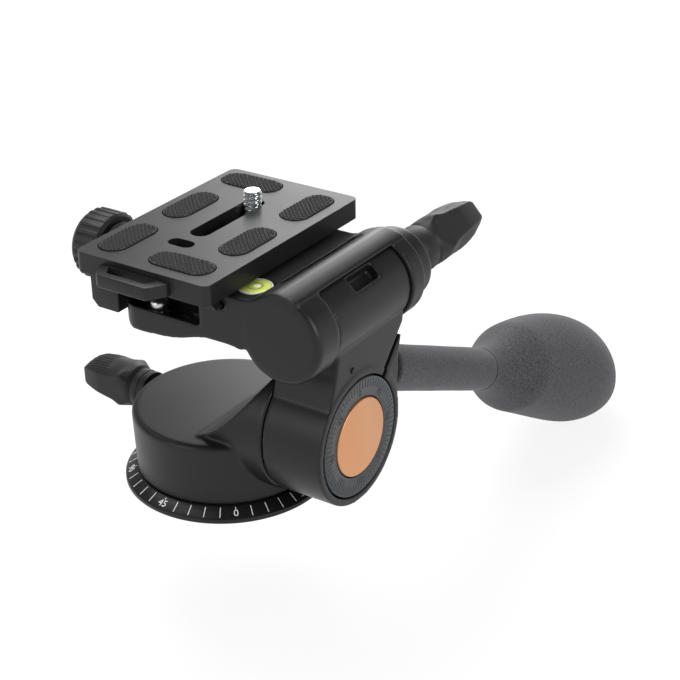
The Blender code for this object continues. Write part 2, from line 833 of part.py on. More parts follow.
arm_slot = block(
    "cut_arm_slot",
    (SEAM_X - OVERCUT, SLOT_INNER_RADIUS - slot_middle, -SLOT_WIDTH / 2.0),
    (ARM_FACE_X + OVERCUT, SLOT_OUTER_RADIUS - slot_middle, SLOT_WIDTH / 2.0),
    None,
)
arm_slot.location = (
    (SEAM_X + ARM_FACE_X) / 2.0,
    slot_middle * math.cos(SLOT_ANGLE),
    TILT_Z + slot_middle * math.sin(SLOT_ANGLE),
)
arm_slot.rotation_euler = (SLOT_ANGLE, 0.0, 0.0)
arm_roll_bore = rod(
    "cut_arm_roll",
    ROLL_BORE_RADIUS + GAP,
    (ROLL_X, BARREL_FRONT_Y - OVERCUT, ROLL_Z),
    (ROLL_X, BARREL_REAR_Y + OVERCUT, ROLL_Z),
    None,
)
handle_origin = Vector((HANDLE_X, HANDLE_Y, HANDLE_Z))
handle_direction = Vector((0.0, math.cos(HANDLE_DROOP), -math.sin(HANDLE_DROOP)))


def along_handle(distance):
    return handle_origin + handle_direction * distance


arm_rod_bore = rod(
    "cut_arm_rod",
    ROD_RADIUS + GAP,
    along_handle(ROD_INNER_S - GAP),
    along_handle(ROD_BORE_END_S),
    None,
    COARSE,
)
STOP_WIDTH = 0.0117
STOP_START_Y = 0.0000
STOP_DEPTH_RADIUS = 0.0090
STOP_LOW_ANGLE = math.radians(38.5)
STOP_HIGH_ANGLE = math.radians(60.5)
notch_outline = []
for radius, angle in (
    (STOP_DEPTH_RADIUS, STOP_LOW_ANGLE),
    (STOP_DEPTH_RADIUS, STOP_HIGH_ANGLE),
    (BARREL_RADIUS + OVERCUT, STOP_HIGH_ANGLE),
    (BARREL_RADIUS + OVERCUT, STOP_LOW_ANGLE),
):
    notch_outline.append((ROLL_X + radius * math.cos(angle), ROLL_Z + radius * math.sin(angle)))
arm_notch = extruded("cut_arm_notch", notch_outline, "XZ", STOP_START_Y, STOP_START_Y + STOP_WIDTH, None)
cut(
    tilt_arm,
    arm_shaft_bore,
    arm_dial_bore,
    arm_washer_bore,
    arm_slot,
    arm_rod_bore,
    arm_roll_bore,
    arm_notch,
)
weld(tilt_arm)
tilt_washer = sleeve(
    "tilt_washer",
    TILT_WASHER_OUTER_RADIUS,
    SHAFT_RADIUS + GAP,
    (SEAM_X + GAP, 0.0, TILT_Z),
    (SEAM_X + GAP + TILT_WASHER_THICKNESS, 0.0, TILT_Z),
    NYLON,
)
roll_bush_front = sleeve(
    "roll_bush_front",
    ROLL_BORE_RADIUS,
    ROLL_SHAFT_RADIUS + GAP,
    (ROLL_X, BARREL_FRONT_Y + GAP, ROLL_Z),
    (ROLL_X, BARREL_FRONT_Y + GAP + ROLL_BUSH_LENGTH, ROLL_Z),
    BRASS,
)
roll_bush_rear = sleeve(
    "roll_bush_rear",
    ROLL_BORE_RADIUS,
    ROLL_SHAFT_RADIUS + GAP,
    (ROLL_X, BARREL_REAR_Y - GAP - ROLL_BUSH_LENGTH, ROLL_Z),
    (ROLL_X, BARREL_REAR_Y - GAP, ROLL_Z),
    BRASS,
)

# Handle: clamp rod, collar, foam tube and foam ball grip
handle_rod = rod(
    "handle_rod", ROD_RADIUS, along_handle(ROD_INNER_S), along_handle(ROD_OUTER_S), STEEL, COARSE
)
handle_collar = sleeve(
    "handle_collar",
    HANDLE_COLLAR_RADIUS,
    ROD_RADIUS + GAP,
    along_handle(HANDLE_COLLAR_START_S),
    along_handle(HANDLE_COLLAR_END_S),
    BLACK_PLASTIC,
)
handle_sleeve = sleeve(
    "handle_sleeve",
    SLEEVE_RADIUS,
    ROD_RADIUS + GAP,
    along_handle(HANDLE_COLLAR_END_S + GAP),
    along_handle(SLEEVE_END_S),
    FOAM,
)
GRIP_PROFILE = (
    (0.00, 0.0068),
    (0.06, 0.0078),
    (0.12, 0.0096),
    (0.18, 0.0121),
    (0.24, 0.0145),
    (0.32, 0.0158),
    (0.42, 0.0171),
    (0.52, 0.0180),
    (0.62, 0.0183),
    (0.70, 0.0178),
    (0.78, 0.0161),
    (0.86, 0.0131),
    (0.93, 0.0092),
    (0.98, 0.0048),
)
GRIP_SHIFT_LINEAR = -0.0030
GRIP_SHIFT_SQUARE = 0.0080
GRIP_RAISE = 0.0018
GRIP_DROP = 0.0060
GRIP_DROP_POWER = 7.0
grip_length = GRIP_END_S - GRIP_START_S
grip_profile = [(0.0, GRIP_END_S)]
grip_profile += [(radius, GRIP_START_S + share * grip_length) for share, radius in reversed(GRIP_PROFILE)]
grip_profile += [(0.0, GRIP_START_S)]
grip_form = turned("tool_grip", grip_profile, None, steps=MEDIUM)
graph = bpy.context.evaluated_depsgraph_get()
grip_mesh = bpy.data.meshes.new_from_object(grip_form.evaluated_get(graph))
bpy.data.objects.remove(grip_form, do_unlink=True)
handle_normal = Vector((0.0, math.sin(HANDLE_DROOP), math.cos(HANDLE_DROOP)))
for vertex in grip_mesh.vertices:
    share = (vertex.co.z - GRIP_START_S) / grip_length
    rise = GRIP_RAISE * math.sin(math.pi * min(max(share, 0.0), 1.0)) ** 2
    fall = GRIP_DROP * share**GRIP_DROP_POWER
    side = GRIP_SHIFT_LINEAR * share + GRIP_SHIFT_SQUARE * share * share
    vertex.co = (
        Vector((1.0, 0.0, 0.0)) * (vertex.co.x + side)
        + handle_normal * (vertex.co.y + rise - fall)
        + handle_direction * vertex.co.z
    )
grip_work = bmesh.new()
grip_work.from_mesh(grip_mesh)
bmesh.ops.recalc_face_normals(grip_work, faces=grip_work.faces)
grip_work.to_mesh(grip_mesh)
grip_work.free()
grip_mesh.name = "ball_grip"
ball_grip = bpy.data.objects.new("ball_grip", grip_mesh)
ball_grip.location = handle_origin
finish_piece(ball_grip, FOAM)
grip_bore = rod(
    "cut_grip",
    ROD_RADIUS + GAP,
    along_handle(GRIP_BORE_START_S),
    along_handle(GRIP_BORE_END_S),
    None,
    COARSE,
)
cut(ball_grip, grip_bore)

# Platform yoke: bowl, dovetail channel, lugs and roof round the roll barrel
PLATFORM_LOWER = (
    (BOWL_LEFT_X + 0.0004, CHANNEL_FLOOR_Z),
    (BOWL_LEFT_X, RIM_Z),
    (-0.0179, 0.0552),
    (-0.0168, 0.0528),
    (-0.0145, 0.0516),
    (-0.0100, 0.0514),
    (-0.0050, 0.0517),
    (0.0000, 0.0522),
    (0.0040, 0.0531),
    (0.0080, 0.0544),
    (0.0120, 0.0553),
    (0.0190, 0.0554),
    (0.0235, 0.0548),
    (ROLL_X, ROLL_Z),
)
PLATFORM_UPPER = (
    (0.0382, 0.0741),
    (0.0360, 0.0743),
    (0.0338, 0.0738),
    (0.0316, 0.0727),
    (0.0294, 0.0713),
    (0.0272, 0.0703),
    (0.0248, 0.0699),
)
jaw_lip_x = PLATE_X + NECK_HALF + JAW_LIP_GAP
jaw_foot_x = PLATE_X + FLARE_HALF + GAP + GAP
platform_outline = list(PLATFORM_LOWER)
for step in range(3):
    angle = ROOF_END_ANGLE + step * math.radians(6.0)
    platform_outline.append(
        (ROLL_X + ROOF_OUTER_RADIUS * math.cos(angle), ROLL_Z + ROOF_OUTER_RADIUS * math.sin(angle))
    )
platform_outline += list(PLATFORM_UPPER)
platform_outline += [
    (jaw_lip_x, SHOULDER_Z),
    (jaw_foot_x, FLARE_FOOT_Z + FLARE_LIP),
    (jaw_foot_x, CHANNEL_FLOOR_Z),
]
roll_centre = (ROLL_X, 0.0, ROLL_Z)
platform_yoke = extruded(
    "platform_yoke", platform_outline, "XZ", LUG_FRONT_Y, LUG_REAR_Y, BLACK_PAINT, origin=roll_centre
)
front_lug = rod(
    "tool_front_lug",
    LUG_RADIUS,
    (ROLL_X, LUG_FRONT_Y, ROLL_Z),
    (ROLL_X, BARREL_FRONT_Y - GAP, ROLL_Z),
    None,
    FINE,
    edge=LUG_EDGE,
)
rear_lug = rod(
    "tool_rear_lug",
    LUG_RADIUS,
    (ROLL_X, BARREL_REAR_Y + GAP, ROLL_Z),
    (ROLL_X, LUG_REAR_Y, ROLL_Z),
    None,
    FINE,
)
rear_ring = rod(
    "tool_rear_ring",
    RING_RADIUS,
    (ROLL_X, BARREL_REAR_Y + GAP + GAP, ROLL_Z),
    (ROLL_X, RING_END_Y, ROLL_Z),
    None,
    MEDIUM,
    edge=RING_EDGE,
)
ROOM_START_Y = BARREL_FRONT_Y - GAP
ROOM_END_Y = BARREL_REAR_Y + GAP
BORE_START_Y = ROLL_SHAFT_HEAD_Y + SLACK - GAP
roll_core = turned(
    "cut_roll_core",
    [
        (0.0, RING_END_Y + OVERCUT),
        (ROLL_SHAFT_RADIUS + GAP, RING_END_Y + OVERCUT),
        (ROLL_SHAFT_RADIUS + GAP, ROOM_END_Y),
        (ROOF_INNER_RADIUS, ROOM_END_Y),
        (ROOF_INNER_RADIUS, ROOM_START_Y),
        (ROLL_SHAFT_RADIUS + GAP, ROOM_START_Y),
        (ROLL_SHAFT_RADIUS + GAP, BORE_START_Y),
        (0.0, BORE_START_Y),
    ],
    None,
    origin=(ROLL_X, 0.0, ROLL_Z),
    axis=(0.0, 1.0, 0.0),
    steps=FINE,
)
join(platform_yoke, front_lug, rear_lug, rear_ring)
SECTOR_RADIUS = 0.0200
sector_outline = [(ROLL_X, ROLL_Z)]
SECTOR_STEPS = 8
SECTOR_LOW_ANGLE = math.radians(-150.0)
for step in range(SECTOR_STEPS + 1):
    angle = SECTOR_LOW_ANGLE + (ROOF_END_ANGLE - SECTOR_LOW_ANGLE) * step / SECTOR_STEPS
    sector_outline.append((ROLL_X + SECTOR_RADIUS * math.cos(angle), ROLL_Z + SECTOR_RADIUS * math.sin(angle)))
arm_room = extruded(
    "cut_arm_room", sector_outline, "XZ", BARREL_FRONT_Y - GAP, BARREL_REAR_Y + GAP, None
)
pocket_front_y = LUG_FRONT_Y + RIM_THICKNESS
rim_cut = block(
    "cut_rim",
    (BOWL_LEFT_X - OVERCUT, LUG_FRONT_Y - OVERCUT, RIM_Z),
    (POCKET_RIGHT_X + SLACK, POCKET_BACK_Y, FLARE_FOOT_Z),
    None,
)
pocket_cut = block(
    "cut_pocket",
    (POCKET_LEFT_X, pocket_front_y, POCKET_FLOOR_Z),
    (POCKET_RIGHT_X, POCKET_BACK_Y, FLARE_FOOT_Z),
    None,
)
CORNER_RADIUS = 0.0065
corner_outline = [
    (BOWL_LEFT_X - OVERCUT, LUG_FRONT_Y - OVERCUT),
    (BOWL_LEFT_X + CORNER_RADIUS, LUG_FRONT_Y - OVERCUT),
]
CORNER_STEPS = 8
for step in range(CORNER_STEPS + 1):
    angle = -math.pi / 2.0 - math.pi / 2.0 * step / CORNER_STEPS
    corner_outline.append(
        (
            BOWL_LEFT_X + CORNER_RADIUS * (1.0 + math.cos(angle)),
            LUG_FRONT_Y + CORNER_RADIUS * (1.0 + math.sin(angle)),
        )
    )
corner_outline.append((BOWL_LEFT_X - OVERCUT, LUG_FRONT_Y + CORNER_RADIUS))
front_corner_cut = extruded(
    "cut_front_corner", corner_outline, "XY", POCKET_CUT_FOOT_Z, PLATE_TOP_Z, None
)
rear_corner_outline = [(x, LUG_FRONT_Y + LUG_REAR_Y - y) for x, y in reversed(corner_outline)]
rear_corner_cut = extruded(
    "cut_rear_corner", rear_corner_outline, "XY", POCKET_CUT_FOOT_Z, PLATE_TOP_Z, None
)
clamp_bore = rod(
    "cut_clamp",
    CLAMP_STUD_RADIUS + GAP,
    (JAW_OUTER_X - OVERCUT, CLAMP_Y, CLAMP_Z),
    (CLAMP_STUD_TIP_X + GAP, CLAMP_Y, CLAMP_Z),
    None,
    COARSE,
)
guide_cuts = []
for name, guide_y in (("front", GUIDE_FRONT_Y), ("rear", GUIDE_REAR_Y)):
    guide_cuts.append(
        rod(
            f"cut_guide_{name}",
            GUIDE_RADIUS + GAP,
            (JAW_OUTER_X + GAP + GAP + SLACK, guide_y, GUIDE_Z),
            (GUIDE_INNER_X + GAP, guide_y, GUIDE_Z),
            None,
            COARSE,
        )
    )
    rod(
        f"guide_pin_{name}",
        GUIDE_RADIUS,
        (GUIDE_OUTER_X, guide_y, GUIDE_Z),
        (GUIDE_INNER_X, guide_y, GUIDE_Z),
        STEEL,
        COARSE,
    )

# Bubble level set in the shoulder
BUBBLE_X = 0.0226
BUBBLE_Y = -0.0134
BUBBLE_FLANGE_RADIUS = 0.0048
BUBBLE_FLANGE_Z = 0.0686
BUBBLE_TOP_Z = 0.0698
BUBBLE_CUP_RADIUS = 0.0032
BUBBLE_CUP_Z = 0.0668
bubble_level = turned(
    "bubble_level",
    [
        (0.0, BUBBLE_TOP_Z),
        (BUBBLE_FLANGE_RADIUS - GAP, BUBBLE_TOP_Z),
        (BUBBLE_FLANGE_RADIUS, BUBBLE_TOP_Z - GAP),
        (BUBBLE_FLANGE_RADIUS, BUBBLE_FLANGE_Z),
        (BUBBLE_CUP_RADIUS, BUBBLE_FLANGE_Z),
        (BUBBLE_CUP_RADIUS, BUBBLE_CUP_Z),
        (0.0, BUBBLE_CUP_Z),
    ],
    LIQUID,
    origin=(BUBBLE_X, BUBBLE_Y, 0.0),
)
bubble_seat = turned(
    "cut_bubble",
    [
        (0.0, PLATE_TOP_Z),
        (BUBBLE_FLANGE_RADIUS + GAP, PLATE_TOP_Z),
        (BUBBLE_FLANGE_RADIUS + GAP, BUBBLE_FLANGE_Z - GAP),
        (BUBBLE_CUP_RADIUS + GAP, BUBBLE_FLANGE_Z - GAP),
        (BUBBLE_CUP_RADIUS + GAP, BUBBLE_CUP_Z - GAP),
        (0.0, BUBBLE_CUP_Z - GAP),
    ],
    None,
    origin=(BUBBLE_X, BUBBLE_Y, 0.0),
)

# Safety pin in the front pocket, sprung from below
SAFETY_X = -0.0065
SAFETY_Y = -0.0182
SAFETY_RADIUS = 0.0024
SAFETY_CROWN_RADIUS = 0.0014
SAFETY_STEM_RADIUS = 0.0014
SAFETY_TOP_Z = 0.0610
SAFETY_DOME_Z = 0.0600
SAFETY_COLLAR_Z = 0.0580
SAFETY_FOOT_Z = 0.0530
safety_pin = turned(
    "safety_pin",
    [
        (0.0, SAFETY_TOP_Z),
        (SAFETY_CROWN_RADIUS, SAFETY_TOP_Z - GAP),
        (SAFETY_RADIUS, SAFETY_DOME_Z),
        (SAFETY_RADIUS, SAFETY_COLLAR_Z),
        (SAFETY_STEM_RADIUS, SAFETY_COLLAR_Z),
        (SAFETY_STEM_RADIUS, SAFETY_FOOT_Z),
        (0.0, SAFETY_FOOT_Z),
    ],
    STEEL,
    origin=(SAFETY_X, SAFETY_Y, 0.0),
    steps=COARSE,
)
safety_bore = rod(
    "cut_safety",
    SAFETY_STEM_RADIUS + GAP,
    (SAFETY_X, SAFETY_Y, POCKET_CUT_FOOT_Z),
    (SAFETY_X, SAFETY_Y, POCKET_FLOOR_Z + OVERCUT),
    None,
    COARSE,
)
SPRING_INNER = SAFETY_STEM_RADIUS + GAP
SPRING_OUTER = 0.0022
safety_spring = sleeve(
    "safety_spring",
    SPRING_OUTER,
    SPRING_INNER,
    (SAFETY_X, SAFETY_Y, POCKET_FLOOR_Z + GAP),
    (SAFETY_X, SAFETY_Y, SAFETY_COLLAR_Z - GAP),
    STEEL,
    COARSE,
)

cut(
    platform_yoke,
    roll_core,
    arm_room,
    rim_cut,
    pocket_cut,
    front_corner_cut,
    rear_corner_cut,
    clamp_bore,
    *guide_cuts,
    bubble_seat,
    safety_bore,
)
weld(platform_yoke)

# Roll shaft, its neck and the roll lock knob
roll_shaft = turned(
    "roll_shaft",
    [
        (0.0, ROLL_SHAFT_END_Y - ROLL_SHAFT_HEAD_Y),
        (ROLL_SHAFT_RADIUS, ROLL_SHAFT_END_Y - ROLL_SHAFT_HEAD_Y),
        (ROLL_SHAFT_RADIUS, SLACK),
        (0.0, SLACK),
    ],
    STEEL,
    origin=(ROLL_X, ROLL_SHAFT_HEAD_Y, ROLL_Z),
    axis=(0.0, 1.0, 0.0),
)
roll_neck = rod(
    "roll_neck",
    ROLL_NECK_RADIUS,
    (ROLL_X, RING_END_Y + GAP, ROLL_Z),
    (ROLL_X, ROLL_NECK_END_Y, ROLL_Z),
    BLACK_PLASTIC,
    edge=GAP,
)
ROLL_BLADE_DIRECTION = (0.74, 0.0, 0.67)
ROLL_BOLT_RADIUS = 0.0030
ROLL_BOLT_END_Y = 0.0560
roll_lock_bolt = rod(
    "roll_lock_bolt",
    ROLL_BOLT_RADIUS,
    (ROLL_X, ROLL_SHAFT_END_Y + GAP, ROLL_Z),
    (ROLL_X, ROLL_BOLT_END_Y, ROLL_Z),
    STEEL,
    COARSE,
)
roll_bolt_bore = rod(
    "cut_roll_bolt",
    ROLL_BOLT_RADIUS + GAP,
    (ROLL_X, ROLL_SHAFT_END_Y, ROLL_Z),
    (ROLL_X, ROLL_BOLT_END_Y + GAP, ROLL_Z),
    None,
    COARSE,
)
roll_lock_knob = wing_knob(
    "roll_lock_knob",
    ROLL_KNOB_LENGTH,
    ROLL_KNOB_SHARE,
    (ROLL_X, ROLL_KNOB_START_Y, ROLL_Z),
    (0.0, 1.0, 0.0),
    ROLL_BLADE_DIRECTION,
)
cut(roll_neck, roll_bolt_bore)
cut(roll_lock_knob, roll_bolt_bore)

# Clamp: sliding jaw, collar, stud and knurled knob
jaw_inner_x = BOWL_LEFT_X - GAP - GAP
jaw_outline = [
    (jaw_inner_x, JAW_FOOT_Z),
    (jaw_inner_x, CHANNEL_FLOOR_Z),
    (PLATE_X - FLARE_HALF - GAP - GAP, CHANNEL_FLOOR_Z + GAP),
    (PLATE_X - FLARE_HALF - GAP - GAP, FLARE_FOOT_Z + FLARE_LIP),
    (PLATE_X - NECK_HALF - JAW_LIP_GAP, JAW_TOP_Z),
    (JAW_OUTER_X + SLACK, JAW_TOP_Z),
    (JAW_OUTER_X, JAW_TOP_Z - SLACK),
    (JAW_OUTER_X, JAW_FOOT_Z + OVERCUT),
    (JAW_OUTER_X + OVERCUT, JAW_FOOT_Z),
]
moving_jaw = extruded("moving_jaw", jaw_outline, "XZ", JAW_FRONT_Y, JAW_REAR_Y, BLACK_PAINT)
cut(moving_jaw, clamp_bore, *guide_cuts)
clamp_collar = sleeve(
    "clamp_collar",
    CLAMP_COLLAR_RADIUS,
    CLAMP_STUD_RADIUS + GAP,
    (CLAMP_KNOB_FACE_X + CLAMP_KNOB_LENGTH + GAP, CLAMP_Y, CLAMP_Z),
    (JAW_OUTER_X - GAP, CLAMP_Y, CLAMP_Z),
    BLACK_PLASTIC,
)
clamp_stud = rod(
    "clamp_stud",
    CLAMP_STUD_RADIUS,
    (CLAMP_STUD_END_X, CLAMP_Y, CLAMP_Z),
    (CLAMP_STUD_TIP_X, CLAMP_Y, CLAMP_Z),
    STEEL,
    COARSE,
)
clamp_knob = rod(
    "clamp_knob",
    CLAMP_KNOB_RADIUS,
    (CLAMP_KNOB_FACE_X, CLAMP_Y, CLAMP_Z),
    (CLAMP_KNOB_FACE_X + CLAMP_KNOB_LENGTH, CLAMP_Y, CLAMP_Z),
    BLACK_PLASTIC,
    FINE,
    edge=0.0012,
)
clamp_knob_bore = rod(
    "cut_clamp_knob",
    CLAMP_STUD_RADIUS + GAP,
    (CLAMP_STUD_END_X - GAP, CLAMP_Y, CLAMP_Z),
    (CLAMP_KNOB_FACE_X + CLAMP_KNOB_LENGTH + OVERCUT, CLAMP_Y, CLAMP_Z),
    None,
    COARSE,
)
cut(clamp_knob, clamp_knob_bore)

# Quick release plate: slab, dovetail, strap loop, pads and camera screw
plate_centre = (PLATE_X, PLATE_Y, PLATE_BOTTOM_Z)
plate = extruded(
    "quick_release_plate",
    rounded_outline(PLATE_X, PLATE_Y, PLATE_WIDTH, PLATE_LENGTH, PLATE_CORNER),
    "XY",
    PLATE_BOTTOM_Z,
    PLATE_TOP_Z,
    BLACK_PAINT,
    origin=plate_centre,
)
bevel(plate, PLATE_EDGE, 2, math.radians(60.0))
dovetail_outline = [
    (PLATE_X - NECK_HALF, PLATE_BOTTOM_Z + SLACK),
    (PLATE_X - NECK_HALF, PLATE_BOTTOM_Z - GAP),
    (PLATE_X - FLARE_HALF, FLARE_FOOT_Z + FLARE_LIP),
    (PLATE_X - FLARE_HALF, FLARE_FOOT_Z),
    (PLATE_X + FLARE_HALF, FLARE_FOOT_Z),
    (PLATE_X + FLARE_HALF, FLARE_FOOT_Z + FLARE_LIP),
    (PLATE_X + NECK_HALF, PLATE_BOTTOM_Z - GAP),
    (PLATE_X + NECK_HALF, PLATE_BOTTOM_Z + SLACK),
]
dovetail = extruded(
    "tool_dovetail",
    dovetail_outline,
    "XZ",
    PLATE_Y - DOVETAIL_LENGTH / 2.0,
    PLATE_Y + DOVETAIL_LENGTH / 2.0,
    None,
)
LOOP_TOP_Z = 0.0745
LOOP_BOTTOM_Z = 0.0707
LOOP_REACH = 0.0058
LOOP_ROOT_HALF = 0.0115
LOOP_TIP_HALF = 0.0080
LOOP_HOLE_ROOT_HALF = 0.0085
LOOP_HOLE_TIP_HALF = 0.0062
LOOP_BAR = 0.0022
LOOP_X = -0.0025
plate_front_y = PLATE_Y - PLATE_LENGTH / 2.0
loop_outline = [
    (LOOP_X - LOOP_ROOT_HALF, plate_front_y + SLACK),
    (LOOP_X - LOOP_ROOT_HALF, plate_front_y - SLACK),
    (LOOP_X - LOOP_TIP_HALF - SLACK, plate_front_y - LOOP_REACH + SLACK),
    (LOOP_X - LOOP_TIP_HALF, plate_front_y - LOOP_REACH),
    (LOOP_X + LOOP_TIP_HALF, plate_front_y - LOOP_REACH),
    (LOOP_X + LOOP_TIP_HALF + SLACK, plate_front_y - LOOP_REACH + SLACK),
    (LOOP_X + LOOP_ROOT_HALF, plate_front_y - SLACK),
    (LOOP_X + LOOP_ROOT_HALF, plate_front_y + SLACK),
]
loop_form = extruded("tool_loop", loop_outline, "XY", LOOP_BOTTOM_Z, LOOP_TOP_Z, None)
loop_hole_outline = [
    (LOOP_X - LOOP_HOLE_ROOT_HALF, plate_front_y - GAP),
    (LOOP_X - LOOP_HOLE_TIP_HALF, plate_front_y - LOOP_REACH + LOOP_BAR),
    (LOOP_X + LOOP_HOLE_TIP_HALF, plate_front_y - LOOP_REACH + LOOP_BAR),
    (LOOP_X + LOOP_HOLE_ROOT_HALF, plate_front_y - GAP),
]
loop_hole = extruded(
    "cut_loop", loop_hole_outline, "XY", LOOP_BOTTOM_Z - OVERCUT, LOOP_TOP_Z + OVERCUT, None
)
SLOT_X = -0.0017
SLOT_START_Y = -0.0075
SLOT_END_Y = 0.0225
SLOT_HALF = 0.0030
SLOT_WIDE_HALF = 0.0048
SLOT_WIDE_Z = 0.0725
slot_centre_y = (SLOT_START_Y + SLOT_END_Y) / 2.0
slot_half_length = (SLOT_END_Y - SLOT_START_Y) / 2.0
slot_cut = extruded(
    "cut_slot",
    pill_outline(SLOT_X, slot_centre_y, slot_half_length, SLOT_HALF, "y"),
    "XY",
    FLARE_FOOT_Z - OVERCUT,
    PLATE_TOP_Z + OVERCUT,
    None,
)
slot_wide_cut = extruded(
    "cut_slot_wide",
    pill_outline(SLOT_X, slot_centre_y, slot_half_length + SLOT_WIDE_HALF - SLOT_HALF, SLOT_WIDE_HALF, "y"),
    "XY",
    FLARE_FOOT_Z - OVERCUT,
    SLOT_WIDE_Z,
    None,
)
HOLE_X = -0.0017
HOLE_Y = -0.0131
HOLE_HALF_LENGTH = 0.0040
HOLE_HALF_WIDTH = 0.0022
hole_cut = extruded(
    "cut_hole",
    pill_outline(HOLE_X, HOLE_Y, HOLE_HALF_LENGTH, HOLE_HALF_WIDTH, "x"),
    "XY",
    FLARE_FOOT_Z - OVERCUT,
    PLATE_TOP_Z + OVERCUT,
    None,
)
PAD_DEPTH = 0.0014
PAD_HALF_LENGTH = 0.0098
PAD_HALF_WIDTH = 0.0043
PAD_PROUD = 0.0004
PADS = (
    (1, -0.0112, 0.0314, "x"),
    (2, -0.0160, 0.0090, "y"),
    (3, -0.0162, -0.0178, "y"),
    (4, 0.0131, 0.0243, "y"),
    (5, 0.0129, -0.0031, "y"),
    (6, 0.0068, -0.0234, "x"),
)
pad_cuts = []
for number, pad_x, pad_y, along in PADS:
    pad_cuts.append(
        extruded(
            f"cut_pad_{number}",
            pill_outline(pad_x, pad_y, PAD_HALF_LENGTH + GAP, PAD_HALF_WIDTH + GAP, along),
            "XY",
            PLATE_TOP_Z - PAD_DEPTH - GAP,
            PLATE_TOP_Z + OVERCUT,
            None,
        )
    )
    extruded(
        f"pad_{number}",
        pill_outline(pad_x, pad_y, PAD_HALF_LENGTH, PAD_HALF_WIDTH, along),
        "XY",
        PLATE_TOP_Z - PAD_DEPTH,
        PLATE_TOP_Z + PAD_PROUD,
        RUBBER,
        origin=(pad_x, pad_y, PLATE_TOP_Z),
    )
join(plate, dovetail, loop_form)
cut(plate, loop_hole, slot_cut, slot_wide_cut, hole_cut, *pad_cuts)
SCREW_Y = 0.0190
SCREW_RADIUS = 0.0027
SCREW_TOP_Z = 0.0804
SCREW_HEAD_RADIUS = 0.0045
SCREW_HEAD_FOOT_Z = 0.0668
SCREW_TIP = 0.0005
camera_screw = turned(
    "camera_screw",
    [
        (0.0, SCREW_TOP_Z),
        (SCREW_RADIUS - SCREW_TIP, SCREW_TOP_Z),
        (SCREW_RADIUS, SCREW_TOP_Z - SCREW_TIP),
        (SCREW_RADIUS, SLOT_WIDE_Z - GAP),
        (SCREW_HEAD_RADIUS, SLOT_WIDE_Z - GAP),
        (SCREW_HEAD_RADIUS, SCREW_HEAD_FOOT_Z),
        (0.0, SCREW_HEAD_FOOT_Z),
    ],
    STEEL,
    origin=(SLOT_X, SCREW_Y, 0.0),
)
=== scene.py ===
import math

import bmesh
import bpy
from mathutils import Matrix, Vector


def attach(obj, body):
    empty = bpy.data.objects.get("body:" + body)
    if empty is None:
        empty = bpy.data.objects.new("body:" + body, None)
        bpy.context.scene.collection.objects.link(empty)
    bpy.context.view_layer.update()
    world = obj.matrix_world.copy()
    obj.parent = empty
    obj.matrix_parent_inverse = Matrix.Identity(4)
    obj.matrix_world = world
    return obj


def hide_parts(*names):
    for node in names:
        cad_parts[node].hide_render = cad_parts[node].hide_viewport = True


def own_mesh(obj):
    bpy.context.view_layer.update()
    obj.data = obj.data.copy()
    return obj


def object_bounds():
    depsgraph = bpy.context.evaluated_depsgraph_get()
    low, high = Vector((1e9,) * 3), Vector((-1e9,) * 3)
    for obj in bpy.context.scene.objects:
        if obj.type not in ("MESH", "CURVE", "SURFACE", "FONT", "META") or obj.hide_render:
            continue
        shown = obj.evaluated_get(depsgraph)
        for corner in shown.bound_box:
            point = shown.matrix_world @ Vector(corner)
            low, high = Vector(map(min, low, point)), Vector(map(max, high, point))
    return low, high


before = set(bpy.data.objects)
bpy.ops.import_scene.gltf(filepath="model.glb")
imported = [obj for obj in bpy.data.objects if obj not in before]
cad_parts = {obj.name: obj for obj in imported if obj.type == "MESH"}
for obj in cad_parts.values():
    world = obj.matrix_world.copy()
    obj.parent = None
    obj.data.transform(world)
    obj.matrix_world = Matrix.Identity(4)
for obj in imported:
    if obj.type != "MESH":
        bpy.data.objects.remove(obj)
cad_low, cad_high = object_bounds()

# Camera, lamps and floor
# The view looks down on the head from its front right. A white studio with a
# dim ceiling and one large lamp overhead gives the satin black its soft sheen.
VIEW_AZIMUTH = math.radians(34.18)
VIEW_ELEVATION = math.radians(27.12)
VIEW_TILT = math.radians(-1.01)
VIEW_PLACE = Vector((0.26170, -0.32660, 0.25502))
VIEW_LENS = 88.26
back = Vector(
    (
        math.sin(VIEW_AZIMUTH) * math.cos(VIEW_ELEVATION),
        -math.cos(VIEW_AZIMUTH) * math.cos(VIEW_ELEVATION),
        math.sin(VIEW_ELEVATION),
    )
)
level = Vector((math.cos(VIEW_AZIMUTH), math.sin(VIEW_AZIMUTH), 0.0))
above = back.cross(level)
right = level * math.cos(VIEW_TILT) + above * math.sin(VIEW_TILT)
above = above * math.cos(VIEW_TILT) - level * math.sin(VIEW_TILT)
camera = bpy.data.objects.new("camera", bpy.data.cameras.new("camera"))
bpy.context.scene.collection.objects.link(camera)
camera.data.sensor_width = 36.0
camera.data.lens = VIEW_LENS
camera.data.clip_start = 0.01
camera.matrix_world = Matrix.Translation(VIEW_PLACE) @ Matrix((right, above, back)).transposed().to_4x4()
bpy.context.scene.camera = camera
bpy.context.scene.view_settings.view_transform = "Standard"

LAMPS = (
    ("overhead_lamp", (-0.22, 0.10, 0.72), 0.50, 6.0),
    ("right_lamp", (0.75, -0.05, 0.40), 0.35, 3.2),
    ("front_lamp", (-0.25, -0.80, 0.45), 0.40, 2.2),
    ("rear_lamp", (-0.35, 0.75, 0.35), 0.40, 2.6),
)
for name, place, size, power in LAMPS:
    lamp = bpy.data.objects.new(name, bpy.data.lights.new(name, "AREA"))
    lamp.data.size = size
    lamp.data.energy = power
    lamp.location = place
    lamp.rotation_mode = "QUATERNION"
    lamp.rotation_quaternion = (Vector((0.0, 0.0, 0.03)) - Vector(place)).to_track_quat("-Z", "Y")
    bpy.context.scene.collection.objects.link(lamp)


